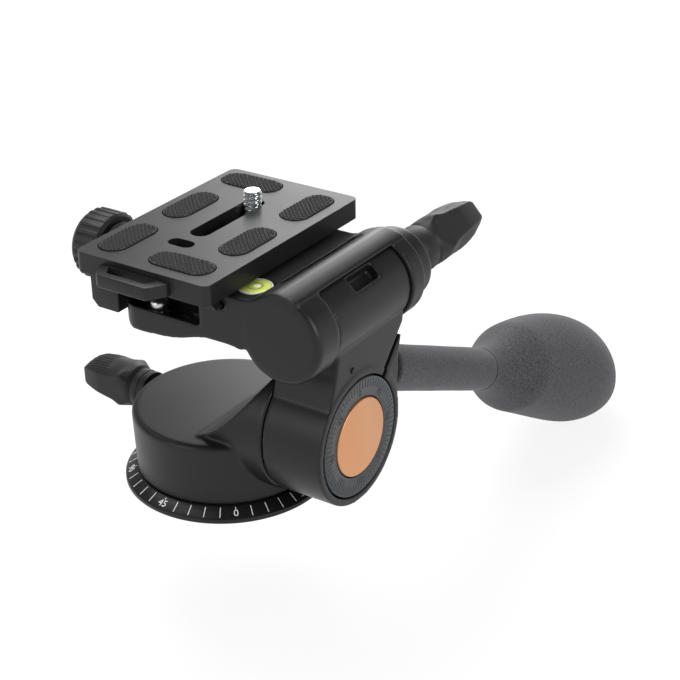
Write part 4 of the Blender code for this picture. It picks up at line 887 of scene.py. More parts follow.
platform_points += [
    (0.0382, 0.0741),
    (0.0360, 0.0743),
    (0.0338, 0.0738),
    (0.0316, 0.0727),
    (0.0294, 0.0713),
    (0.0272, 0.0703),
    (0.0248, 0.0699),
    (PLATE_X + 0.0154, SHOULDER),
    (PLATE_X + 0.0196, 0.0668),
    (PLATE_X + 0.0196, CHANNEL),
]
platform = outline_solid("platform_casting", platform_points, "XZ", LUG_FRONT, LUG_REAR)
LUG_PROUD = 0.0001
front_lug = bar(
    "front_lug",
    LUG,
    (ROLL_X, LUG_FRONT - LUG_PROUD, ROLL_Z),
    (ROLL_X, -0.0115, ROLL_Z),
    edge=0.0018,
)
rear_lug = bar(
    "rear_lug",
    LUG + LUG_PROUD,
    (ROLL_X, 0.0226, ROLL_Z),
    (ROLL_X, LUG_REAR + LUG_PROUD, ROLL_Z),
)
rear_ring = bar("rear_ring", 0.0108, (ROLL_X, 0.0240, ROLL_Z), (ROLL_X, 0.0365, ROLL_Z), edge=0.0010)
along_roll = towards((ROLL_X, 0.0, ROLL_Z), (0.0, 1.0, 0.0))
roll_core = turn(
    "roll_core",
    [
        (0.0, 0.0385),
        (0.0053, 0.0385),
        (0.0053, 0.0229),
        (0.0123, 0.0229),
        (0.0123, -0.0118),
        (0.0053, -0.0118),
        (0.0053, -0.0205),
        (0.0, -0.0205),
    ],
    along_roll,
)
room_points = [(ROLL_X, ROLL_Z)]
for step in range(9):
    bearing = math.radians(-150.0) + (ROOF_END - math.radians(-150.0)) * step / 8
    room_points.append((ROLL_X + ROOM * math.cos(bearing), ROLL_Z + ROOM * math.sin(bearing)))
arm_room = outline_solid("arm_room", room_points, "XZ", ROOM_FRONT, ROOM_REAR)
rim_cut = block("rim_cut", (-0.0200, -0.0242, RIM_Z), (0.0100, -0.0140, 0.0660))
pocket = block("pocket", (-0.0150, -0.0207, 0.0545), (0.0015, -0.0139, 0.0661))
pocket_step = block("pocket_step", (0.0010, -0.0206, 0.0559), (0.0090, -0.0138, 0.0662))
corner_tools = []
CORNER = 0.0065
OVERCUT = 0.0020
corner_points = [(BOWL_LEFT - OVERCUT, LUG_FRONT - OVERCUT), (BOWL_LEFT + CORNER, LUG_FRONT - OVERCUT)]
for step in range(17):
    bearing = -math.pi / 2.0 - math.pi / 2.0 * step / 16
    corner_x = BOWL_LEFT + CORNER * (1.0 + math.cos(bearing))
    corner_y = LUG_FRONT + CORNER * (1.0 + math.sin(bearing))
    corner_points.append((corner_x, corner_y))
corner_points.append((BOWL_LEFT - OVERCUT, LUG_FRONT + CORNER))
CORNER_LOW = 0.0465
CORNER_HIGH = 0.0763
corner_tools.append(outline_solid("front_corner", corner_points, "XY", CORNER_LOW, CORNER_HIGH))
rear_points = [(x, LUG_FRONT + LUG_REAR - y) for x, y in reversed(corner_points)]
corner_tools.append(outline_solid("rear_corner", rear_points, "XY", CORNER_LOW, CORNER_HIGH))
CLAMP_Y = 0.0002
CLAMP_Z = 0.0618
clamp_bore = bar("clamp_bore", 0.0028, (-0.0302, CLAMP_Y, CLAMP_Z), (-0.0027, CLAMP_Y, CLAMP_Z), steps=COARSE)
BUBBLE = Vector((0.0226, -0.0134, 0.0))
bubble_seat = turn(
    "bubble_seat",
    [(0.0, 0.0763), (0.0051, 0.0763), (0.0051, 0.0683), (0.0035, 0.0683), (0.0035, 0.0665), (0.0, 0.0665)],
    Matrix.Translation(BUBBLE),
)
pin_bore = bar("pin_bore", 0.0017, (-0.0065, -0.0182, 0.0465), (-0.0065, -0.0182, 0.0565), steps=COARSE)
platform = carve(
    platform,
    joined=[front_lug, rear_lug, rear_ring],
    cut=[roll_core, arm_room, rim_cut, pocket, pocket_step, *corner_tools, clamp_bore, bubble_seat, pin_bore],
)
platform = cast(platform, 0.00043, 8, black_paint)
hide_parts("platform_yoke")
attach(platform, "platform")

# Bubble level
# A small clear vial in a plastic rim, pressed into the shoulder. The yellow
# green spirit shows through its flat top, with one printed ring and a bubble.
level_rim = finish("level_rim", (0.45, 0.47, 0.40), (0.55, 0.57, 0.50), 0.30, 0.40)
spirit = finish("level_spirit", (0.50, 0.58, 0.10), (0.60, 0.66, 0.16), 0.16, 0.22, blotches=200.0)
spirit.node_tree.nodes["Principled BSDF"].inputs["Coat Weight"].default_value = 1.0
spirit.node_tree.nodes["Principled BSDF"].inputs["Coat Roughness"].default_value = 0.04
vial = turn(
    "level_vial",
    [(0.0, 0.0698), (0.0042, 0.0698), (0.0042, 0.0689), (0.0, 0.0689)],
    Matrix.Translation(BUBBLE),
    spirit,
    edge=0.0002,
)
vial_rim = turn(
    "level_rim",
    [
        (0.0043, 0.0698),
        (0.0048, 0.0698),
        (0.0048, 0.0686),
        (0.0032, 0.0686),
        (0.0032, 0.0668),
        (0.0025, 0.0668),
        (0.0025, 0.0688),
        (0.0043, 0.0688),
    ],
    Matrix.Translation(BUBBLE),
    level_rim,
    ring=True,
    edge=0.0001,
)
ring_print = turn(
    "level_ring",
    [(0.0019, 0.06984), (0.0021, 0.06984), (0.0021, 0.06972), (0.0019, 0.06972)],
    Matrix.Translation(BUBBLE),
    mark_black,
    ring=True,
)
pale_bubble = finish("pale_bubble", (0.78, 0.82, 0.50), (0.86, 0.88, 0.62), 0.10, 0.16, blotches=300.0)
bubble_cap = turn(
    "level_bubble",
    [(0.0, 0.06990), (0.0006, 0.06987), (0.0010, 0.06980), (0.0011, 0.06970), (0.0, 0.06970)],
    Matrix.Translation(BUBBLE + Vector((0.0004, 0.0003, 0.0))),
    pale_bubble,
)
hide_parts("bubble_level")
for piece in (vial, vial_rim, ring_print, bubble_cap):
    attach(piece, "platform")

# Dovetail clamp
# A sliding jaw of black alloy closes on the plate's dovetail. Its screw has a
# knurled plastic knob with a smooth waist and a second, narrower step.
JAW_OUTER = -0.0282
jaw_points = [
    (BOWL_LEFT - 0.0006, 0.0545),
    (BOWL_LEFT - 0.0006, CHANNEL),
    (PLATE_X - 0.0196, CHANNEL + GAP),
    (PLATE_X - 0.0196, 0.0668),
    (PLATE_X - 0.0154, 0.0701),
    (JAW_OUTER + 0.0010, 0.0701),
    (JAW_OUTER, 0.0691),
    (JAW_OUTER, 0.0565),
    (JAW_OUTER + 0.0020, 0.0545),
]
jaw = outline_solid("jaw_bar", jaw_points, "XZ", -0.0213, 0.0220)
jaw_bore = bar("jaw_bore", 0.0028, (-0.0302, CLAMP_Y, CLAMP_Z), (-0.0127, CLAMP_Y, CLAMP_Z), steps=COARSE)
jaw = carve(jaw, cut=[jaw_bore])
edge = jaw.modifiers.new("edge", "BEVEL")
edge.width = 0.0005
edge.segments = 3
edge.limit_method = "ANGLE"
edge.harden_normals = True
jaw = settle(jaw, None, black_paint, crease=18.0)
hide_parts("moving_jaw")
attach(jaw, "jaw")
black_plastic = finish(
    "black_plastic",
    (0.0085, 0.0085, 0.0090),
    (0.0120, 0.0120, 0.0126),
    0.46,
    0.56,
    sheen=0.30,
    bump=0.3,
    depth=0.00003,
    edge=0.4,
)
KNOB_FACE = -0.0463
KNOB_BACK = -0.0363
along_clamp = towards((0.0, CLAMP_Y, CLAMP_Z), (1.0, 0.0, 0.0))
knob = turn(
    "clamp_knob_body",
    [
        (0.0, KNOB_FACE + 0.0027),
        (0.0028, KNOB_FACE + 0.0027),
        (0.0028, KNOB_BACK),
        (0.0090, KNOB_BACK),
        (0.0099, KNOB_BACK - 0.0010),
        (0.0099, KNOB_FACE + 0.0016),
        (0.0088, KNOB_FACE),
        (0.0060, KNOB_FACE),
        (0.0056, KNOB_FACE + 0.0005),
        (0.0, KNOB_FACE + 0.0005),
    ],
    along_clamp,
    black_plastic,
    steps=FINE,
    edge=0.0002,
)


# Ribs of a moulded knob: a rounded ridge with sloping ends, at bearing zero
def rib_mesh(name, radius, half, height, low, high, slope):
    section = ((-0.0004, -half), (height * 0.55, -half * 0.75), (height, -half * 0.3))
    section += ((height, half * 0.3), (height * 0.55, half * 0.75), (-0.0004, half))
    rows = ((low, 0.0), (low + slope, 1.0), (high - slope, 1.0), (high, 0.0))
    work = bmesh.new()
    rings = []
    for level_z, grown in rows:
        ring = []
        for rise, side in section:
            ring.append(work.verts.new((radius + (rise * grown if rise > 0.0 else rise), side, level_z)))
        rings.append(ring)
    for first, second in zip(rings, rings[1:]):
        for index in range(len(section)):
            following = (index + 1) % len(section)
            work.faces.new((first[index], first[following], second[following], second[index]))
    work.faces.new(rings[0])
    work.faces.new(rings[-1])
    bmesh.ops.recalc_face_normals(work, faces=work.faces)
    mesh = bpy.data.meshes.new(name)
    work.to_mesh(mesh)
    work.free()
    return mesh


CLAMP_RIBS = 26
clamp_ribs = ring_copies(
    "clamp_knob_ribs",
    rib_mesh("clamp_rib", 0.0099, 0.00075, 0.0004, KNOB_FACE + 0.0013, KNOB_BACK - 0.0008, 0.0006),
    CLAMP_RIBS,
    0.0,
    2.0 * math.pi / CLAMP_RIBS,
    black_plastic,
    place=along_clamp,
)
clamp_collar = turn(
    "clamp_collar_turned",
    [
        (0.0028, JAW_OUTER - GAP),
        (0.0078, JAW_OUTER - GAP),
        (0.0078, JAW_OUTER - 0.0046),
        (0.0070, JAW_OUTER - 0.0052),
        (0.0070, JAW_OUTER - 0.0068),
        (0.0076, JAW_OUTER - 0.0074),
        (0.0076, KNOB_BACK + GAP),
        (0.0028, KNOB_BACK + GAP),
    ],
    along_clamp,
    black_plastic,
    steps=FINE,
    ring=True,
    edge=0.0003,
)
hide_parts("clamp_knob")
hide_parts("clamp_collar")
for piece, painted in ((knob, "knob_black"), (clamp_ribs, "knob_black"), (clamp_collar, "collar_black")):
    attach(piece, "clamp")

# Wing knobs
# Two moulded black knobs with steel studs, one for the pan and one for the
# side roll. A round foot flattens into a blade with lengthwise finger ribs.
WING_ROUND = 232
WING_ROWS = 72
# Rows of (share of the length, half breadth, half thickness in the middle, half thickness at the edge)
WING_SECTIONS = (
    (0.00, 0.0060, 0.0060, 0.0054),
    (0.05, 0.0066, 0.0068, 0.0062),
    (0.20, 0.0066, 0.0070, 0.0055),
    (0.35, 0.0066, 0.0069, 0.0043),
    (0.50, 0.0066, 0.0068, 0.0039),
    (0.62, 0.0066, 0.0066, 0.0036),
    (0.70, 0.0064, 0.0064, 0.0035),
    (0.80, 0.0060, 0.0060, 0.0033),
    (0.90, 0.0055, 0.0051, 0.0032),
    (0.96, 0.0051, 0.0042, 0.0031),
    (1.00, 0.0048, 0.0031, 0.0026),
)
WING_BAND = math.radians(28.0)
WING_EASE_PASSES = 3
RIB_PITCH = 0.0017
RIB_HEIGHT = 0.00042
RIB_SPREAD = 0.86
RIB_FADE = 0.08


def eased(table, share):
    """A row of the table at a share of its length, on a smooth curve through the rows."""
    place = 0
    while place < len(table) - 2 and table[place + 1][0] < share:
        place += 1
    rows = [table[max(min(place + step, len(table) - 1), 0)] for step in (-1, 0, 1, 2)]
    reach = (share - rows[1][0]) / (rows[2][0] - rows[1][0])
    values = []
    for before, start, end, after in zip(*(row[1:] for row in rows)):
        bend = (after - 3.0 * end + 3.0 * start - before) * reach**3
        bow = (2.0 * before - 5.0 * start + 4.0 * end - after) * reach**2
        values.append(0.5 * (bend + bow + (end - before) * reach + 2.0 * start))
    return values


def rise_between(value, low, high):
    """0 below low, 1 above high, and a smooth rise between."""
    share = min(max((value - low) / (high - low), 0.0), 1.0)
    return share * share * (3.0 - 2.0 * share)


def grid_skin(name, rings, paint, crease=40.0):
    """A closed skin through rings of points, with a point at each end."""
    work = bmesh.new()
    rows = [[work.verts.new(point) for point in ring] for ring in rings]
    for first, second in zip(rows, rows[1:]):
        for index in range(len(first)):
            following = (index + 1) % len(first)
            work.faces.new((first[index], first[following], second[following], second[index]))
    for row in (rows[0], rows[-1]):
        middle = work.verts.new(sum((vertex.co for vertex in row), Vector()) / len(row))
        for index in range(len(row)):
            work.faces.new((row[index], row[(index + 1) % len(row)], middle))
    bmesh.ops.recalc_face_normals(work, faces=work.faces)
    mesh = bpy.data.meshes.new(name)
    work.to_mesh(mesh)
    work.free()
    return settle(add(bpy.data.objects.new(name, mesh)), None, paint, crease)


def wing_outline(share, girth):
    """A section as (across, out) pairs: a bulged face on each side and a flat band at each edge."""
    half_broad, middle, border = (girth * value for value in eased(WING_SECTIONS, share))
    flattened = rise_between(share, 0.02, 0.24)
    outline = []
    for index in range(WING_ROUND):
        angle = 2.0 * math.pi * index / WING_ROUND
        side = math.asin(math.sin(angle))
        if abs(side) < WING_BAND:
            across = half_broad
            out = border * side / WING_BAND
        else:
            inward = (abs(side) - WING_BAND) / (math.pi / 2.0 - WING_BAND)
            across = half_broad * (1.0 - inward)
            out = math.copysign(border + (middle - border) * (1.0 - (1.0 - inward) ** 2), side)
        across = math.copysign(across, math.cos(angle))
        round_across = half_broad * math.cos(angle)
        round_out = middle * math.sin(angle)
        outline.append(
            (
                round_across + (across - round_across) * flattened,
                round_out + (out - round_out) * flattened,
            )
        )
    for _ in range(WING_EASE_PASSES):
        outline = [
            tuple(
                0.25 * outline[index - 1][part]
                + 0.5 * outline[index][part]
                + 0.25 * outline[(index + 1) % WING_ROUND][part]
                for part in (0, 1)
            )
            for index in range(WING_ROUND)
        ]
    return outline, half_broad


def wing_knob(name, length, girth, origin, axis, broad, start, bore, bore_depth):
    """A round foot that flattens to a thick finger blade, ribbed on its two bulged faces."""
    axis = Vector(axis).normalized()
    broad = Vector(broad).normalized()
    thin = axis.cross(broad)
    rings = []
    for depth in (bore_depth, 0.0):
        ring = []
        for index in range(WING_ROUND):
            angle = 2.0 * math.pi * index / WING_ROUND
            side = broad * (bore * math.cos(angle)) + thin * (bore * math.sin(angle))
            ring.append(Vector(origin) + axis * (start + depth) + side)
        rings.append(ring)
    for row in range(WING_ROWS + 1):
        share = row / WING_ROWS
        outline, half_broad = wing_outline(share, girth)
        ribbed = rise_between(share, 0.40, 0.54)
        ring = []
        for across, out in outline:
            fade = rise_between(abs(across) / half_broad, RIB_SPREAD - RIB_FADE, RIB_SPREAD)
            inside = 1.0 - fade
            wave = 0.5 + 0.5 * math.cos(2.0 * math.pi * across / RIB_PITCH)
            out += math.copysign(RIB_HEIGHT * ribbed * inside * (wave**0.6 - 0.6), out)
            ring.append(Vector(origin) + axis * (start + share * length) + broad * across + thin * out)
        rings.append(ring)
    tip = rings[-1]
    middle = Vector(origin) + axis * (start + length)
    for inset, lift in ((0.93, 0.00022), (0.78, 0.00034), (0.40, 0.00040)):
        rings.append([middle + (point - middle) * inset + axis * lift for point in tip])
    return grid_skin(name, rings, black_plastic)


PAN_KNOB_START = 0.0336
PAN_KNOB_LENGTH = 0.0193
PAN_KNOB_GIRTH = 0.93
PAN_STUD = 0.0032
pan_knob = wing_knob(
    "pan_wing_knob",
    PAN_KNOB_LENGTH,
    PAN_KNOB_GIRTH,
    lock_centre,
    lock_way,
    lock_way.cross(Vector((0.0, 0.0, 1.0))),
    PAN_KNOB_START,
    PAN_STUD + GAP,
    0.0061,
)
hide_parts("pan_lock_knob")
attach(pan_knob, "pan_lock")
pan_collar = turn(
    "pan_collar_turned",
    [
        (PAN_STUD + GAP, 0.0284),
        (0.0058, 0.0284),
        (0.0058, 0.0298),
        (0.0055, 0.0301),
        (0.0055, 0.0307),
        (0.0058, 0.0310),
        (0.0058, 0.0333),
        (PAN_STUD + GAP, 0.0333),
    ],
    towards(lock_centre, lock_way),
    black_plastic,
    ring=True,
    edge=0.0002,
)
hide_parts("pan_lock_collar")
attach(pan_collar, "pan_lock")
ROLL_KNOB_START = 0.0478
ROLL_KNOB_LENGTH = 0.0262
roll_knob = wing_knob(
    "roll_wing_knob",
    ROLL_KNOB_LENGTH,
    1.0,
    (ROLL_X, 0.0, ROLL_Z),
    (0.0, 1.0, 0.0),
    (0.74, 0.0, 0.67),
    ROLL_KNOB_START,
    0.0033,
    0.0085,
)
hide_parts("roll_lock_knob")
roll_neck = turn(
    "roll_neck_turned",
    [
        (0.0033, 0.0368),
        (0.0070, 0.0368),
        (0.0070, 0.0395),
        (0.0066, 0.0400),
        (0.0066, 0.0412),
        (0.0070, 0.0417),
        (0.0070, 0.0470),
        (0.0033, 0.0470),
    ],
    along_roll,
    black_plastic,
    steps=FINE,
    ring=True,
    edge=0.0003,
)
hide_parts("roll_neck")
for piece, painted in ((roll_knob, "knob_black"), (roll_neck, "collar_black")):
    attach(piece, "roll_lock")

# Handle
# A steel rod clamped in the arm, a black collar, and a closed-cell foam tube
# that swells into a ball-ended grip. The foam is dark grey and slightly mottled.
foam = bpy.data.materials.new("foam_grey")
foam.use_nodes = True
foam_tree = foam.node_tree
foam_shader = foam_tree.nodes["Principled BSDF"]
foam_shader.inputs["Specular IOR Level"].default_value = 0.25
foam_shader.inputs["Sheen Weight"].default_value = 0.12
foam_shader.inputs["Sheen Roughness"].default_value = 0.5
foam_cloud = foam_tree.nodes.new("ShaderNodeGroup")
foam_cloud.node_tree = grain
foam_cloud.inputs["Blotch Scale"].default_value = 1500.0
foam_cloud.inputs["Tooth Scale"].default_value = 3200.0
foam_tint = foam_tree.nodes.new("ShaderNodeValToRGB")
foam_tint.color_ramp.elements[0].position = 0.30
foam_tint.color_ramp.elements[0].color = (0.020, 0.020, 0.022, 1.0)
foam_tint.color_ramp.elements[1].position = 0.72
foam_tint.color_ramp.elements[1].color = (0.066, 0.066, 0.070, 1.0)
foam_tree.links.new(foam_cloud.outputs["Blotch"], foam_tint.inputs["Fac"])
foam_tree.links.new(foam_tint.outputs["Color"], foam_shader.inputs["Base Color"])
foam_gloss = foam_tree.nodes.new("ShaderNodeMapRange")
foam_gloss.inputs["To Min"].default_value = 0.62
foam_gloss.inputs["To Max"].default_value = 0.82
foam_tree.links.new(foam_cloud.outputs["Tooth"], foam_gloss.inputs["Value"])
foam_tree.links.new(foam_gloss.outputs["Result"], foam_shader.inputs["Roughness"])
foam_pores = foam_tree.nodes.new("ShaderNodeTexVoronoi")
foam_pores.inputs["Scale"].default_value = 1300.0
foam_place = foam_tree.nodes.new("ShaderNodeTexCoord")
foam_relief = foam_tree.nodes.new("ShaderNodeBump")
foam_relief.inputs["Strength"].default_value = 0.35
foam_relief.inputs["Distance"].default_value = 0.00008
foam_tree.links.new(foam_place.outputs["Object"], foam_pores.inputs["Vector"])
foam_tree.links.new(foam_pores.outputs["Distance"], foam_relief.inputs["Height"])
foam_tree.links.new(foam_relief.outputs["Normal"], foam_shader.inputs["Normal"])

handle_turn = Matrix((Vector((1.0, 0.0, 0.0)), handle_up, handle_way)).transposed().to_4x4()
along_handle = Matrix.Translation(HANDLE_ROOT) @ handle_turn
SLEEVE = 0.0068
SLEEVE_START = 0.0063
SLEEVE_END = 0.0690
SLEEVE_EDGE = 0.0008
handle_collar = turn(
    "handle_collar_turned",
    [
        (ROD + GAP, 0.0060),
        (0.0056, 0.0060),
        (0.0060, 0.0054),
        (0.0060, 0.0030),
        (0.0054, 0.0022),
        (ROD + GAP, 0.0022),
    ],
    along_handle,
    black_plastic,
    steps=MEDIUM,
    ring=True,
    edge=0.00015,
)
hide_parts("handle_collar")
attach(handle_collar, "handle")
FOAM_ROWS = 90
sleeve_profile = [(ROD + GAP, SLEEVE_START), (SLEEVE - SLEEVE_EDGE, SLEEVE_START)]
for step in range(1, 5):
    angle = math.pi / 2.0 * step / 4
    edge_radius = SLEEVE - SLEEVE_EDGE * (1.0 - math.sin(angle))
    sleeve_profile.append((edge_radius, SLEEVE_START + SLEEVE_EDGE * (1.0 - math.cos(angle))))
for row in range(1, FOAM_ROWS):
    share = row / FOAM_ROWS
    swell = 0.00002 * math.sin(17.0 * share)
    distance = SLEEVE_START + SLEEVE_EDGE + share * (SLEEVE_END - SLEEVE_START - 0.0010)
    sleeve_profile.append((SLEEVE + swell * (1.0 - share**6), distance))
sleeve_profile += [(SLEEVE - 0.0001, SLEEVE_END), (ROD + GAP, SLEEVE_END)]
foam_sleeve = turn("foam_sleeve", sleeve_profile, along_handle, foam, steps=MEDIUM, ring=True)
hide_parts("handle_sleeve")
GRIP_START = 0.0693
GRIP_END = 0.1590
GRIP_PROFILE = (
    (0.00, 0.0068),
    (0.06, 0.0078),
    (0.12, 0.0096),
    (0.18, 0.0121),
    (0.24, 0.0145),
    (0.32, 0.0158),
    (0.42, 0.0171),
    (0.52, 0.0180),
    (0.62, 0.0183),
    (0.70, 0.0178),
    (0.78, 0.0161),
    (0.86, 0.0131),
    (0.93, 0.0092),
    (0.98, 0.0048),
    (1.00, 0.0001),
)
GRIP_ROWS = 120
GRIP_ROUND = 128
grip_rings = []
for row in range(GRIP_ROWS + 1):
    share = math.sin(math.pi / 2.0 * row / GRIP_ROWS)
    radius = eased(GRIP_PROFILE, share)[0]
    lift = 0.0018 * math.sin(math.pi * share) ** 2 - 0.0060 * share**7
    side = -0.0030 * share + 0.0080 * share * share
    ring = []
    for index in range(GRIP_ROUND):
        angle = 2.0 * math.pi * index / GRIP_ROUND
        dent = 1.0 + 0.006 * math.sin(3.0 * angle + 9.0 * share) * math.sin(math.pi * share)
        ring.append(
            along_handle
            @ Vector(
                (
                    radius * dent * math.cos(angle) + side,
                    radius * dent * math.sin(angle) + lift,
                    GRIP_START + share * (GRIP_END - GRIP_START),
                )
            )
        )
    grip_rings.append(ring)
grip = grid_skin("foam_grip", grip_rings, foam, crease=60.0)
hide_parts("ball_grip")
for piece in (foam_sleeve, grip):
    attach(piece, "handle")

# Quick release plate
# A black anodised plate with a dovetail below, a strap loop in front and six
# set-in rubber pads on top, cut with a crossed hatch so the camera can't slip.
PLATE_HALF = 0.0221
PLATE_HALF_LENGTH = 0.0350
PLATE_TOP = 0.0763
PLATE_UNDER = 0.0705
PLATE_CORNER = 0.0022
PLATE_CHAMFER = 0.0012
NECK = 0.0145
FLARE = 0.0190
FLARE_Z = 0.0660
DOVETAIL_HALF = 0.0280
black_anodised = finish(
    "black_anodised",
    (0.0075, 0.0075, 0.0080),
    (0.0105, 0.0105, 0.0112),
    0.34,
    0.42,
    sheen=0.28,
    bump=0.10,
    edge=0.5,
)


def pill(x, y, half_length, half_width, along, steps=24):
    """A long hole's outline, with round ends."""
    reach = half_length - half_width
    points = []
    for end, first in ((1.0, -math.pi / 2.0), (-1.0, math.pi / 2.0)):
        for step in range(steps + 1):
            angle = first + math.pi * step / steps
            long_way = end * reach + half_width * math.cos(angle)
            cross_way = half_width * math.sin(angle)
            points.append((x + long_way, y + cross_way) if along == "x" else (x - cross_way, y + long_way))
    return points


slab_points = []
for turn_x, turn_y, first in ((1, 1, 0.0), (-1, 1, 90.0), (-1, -1, 180.0), (1, -1, 270.0)):
    for step in range(9):
        angle = math.radians(first + 90.0 * step / 8)
        slab_points.append(
            (
                PLATE_X + turn_x * (PLATE_HALF - PLATE_CORNER) + PLATE_CORNER * math.cos(angle),
                PLATE_Y + turn_y * (PLATE_HALF_LENGTH - PLATE_CORNER) + PLATE_CORNER * math.sin(angle),
            )
        )
plate = outline_solid("plate_slab", slab_points, "XY", PLATE_UNDER, PLATE_TOP)
rim = plate.modifiers.new("rim", "BEVEL")
rim.width = PLATE_CHAMFER
rim.segments = 2
rim.limit_method = "ANGLE"
rim.angle_limit = math.radians(60.0)
plate = settle(plate)
dovetail_points = [
    (PLATE_X - NECK, PLATE_UNDER + 0.0010),
    (PLATE_X - NECK, PLATE_UNDER - GAP),
    (PLATE_X - FLARE, FLARE_Z + 0.0005),
    (PLATE_X - FLARE, FLARE_Z),
    (PLATE_X + FLARE, FLARE_Z),
    (PLATE_X + FLARE, FLARE_Z + 0.0005),
    (PLATE_X + NECK, PLATE_UNDER - GAP),
    (PLATE_X + NECK, PLATE_UNDER + 0.0010),
]
dovetail = outline_solid("dovetail", dovetail_points, "XZ", PLATE_Y - DOVETAIL_HALF, PLATE_Y + DOVETAIL_HALF)
LOOP_X = -0.0025
loop_y = PLATE_Y - PLATE_HALF_LENGTH
loop_points = []
for across, ahead in (
    (-0.0115, 0.0010),
    (-0.0115, -0.0010),
    (-0.0090, -0.0048),
    (-0.0080, -0.0058),
    (0.0080, -0.0058),
    (0.0090, -0.0048),
    (0.0115, -0.0010),
    (0.0115, 0.0010),
):
    loop_points.append((LOOP_X + across, loop_y + ahead))
loop = outline_solid("loop", loop_points, "XY", 0.0707, 0.0745)
loop_edge = loop.modifiers.new("edge", "BEVEL")
loop_edge.width = 0.0006
loop_edge.segments = 3
loop = settle(loop)
hole_points = []
for across, ahead in ((-0.0085, -0.0003), (-0.0062, -0.0036), (0.0062, -0.0036), (0.0085, -0.0003)):
    hole_points.append((LOOP_X + across, loop_y + ahead))
loop_hole = outline_solid("loop_hole", hole_points, "XY", 0.0687, 0.0765)
SCREW_X = -0.0017
SCREW_Y = 0.0190
long_slot = outline_solid("long_slot", pill(SCREW_X, 0.0075, 0.0150, 0.0030, "y"), "XY", 0.0640, 0.0783)
wide_slot = outline_solid("wide_slot", pill(SCREW_X, 0.0075, 0.0168, 0.0048, "y"), "XY", 0.0640, 0.0725)
pin_hole = outline_solid("pin_hole", pill(SCREW_X, -0.0131, 0.0040, 0.0022, "x"), "XY", 0.0640, 0.0783)
PAD_HALF_LENGTH = 0.0098
PAD_HALF_WIDTH = 0.0043
PAD_DEPTH = 0.0014
PAD_PROUD = 0.0004
PADS = (
    (1, -0.0112, 0.0314, "x"),
    (2, -0.0160, 0.0090, "y"),
    (3, -0.0162, -0.0178, "y"),
    (4, 0.0131, 0.0243, "y"),
    (5, 0.0129, -0.0031, "y"),
    (6, 0.0068, -0.0234, "x"),
)
pad_seats = []
for number, pad_x, pad_y, along in PADS:
    seat = pill(pad_x, pad_y, PAD_HALF_LENGTH + GAP, PAD_HALF_WIDTH + GAP, along)
    seat_floor = PLATE_TOP - PAD_DEPTH - GAP
    pad_seats.append(outline_solid(f"pad_seat_{number}", seat, "XY", seat_floor, PLATE_TOP + OVERCUT))
plate = carve(plate, joined=[dovetail, loop], cut=[loop_hole, long_slot, wide_slot, pin_hole, *pad_seats])
plate_edge = plate.modifiers.new("edge", "BEVEL")
plate_edge.width = 0.00022
plate_edge.segments = 2
plate_edge.limit_method = "ANGLE"
plate_edge.angle_limit = math.radians(40.0)
plate = settle(plate, None, black_anodised, crease=18.0)
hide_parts("quick_release_plate")
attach(plate, "plate")


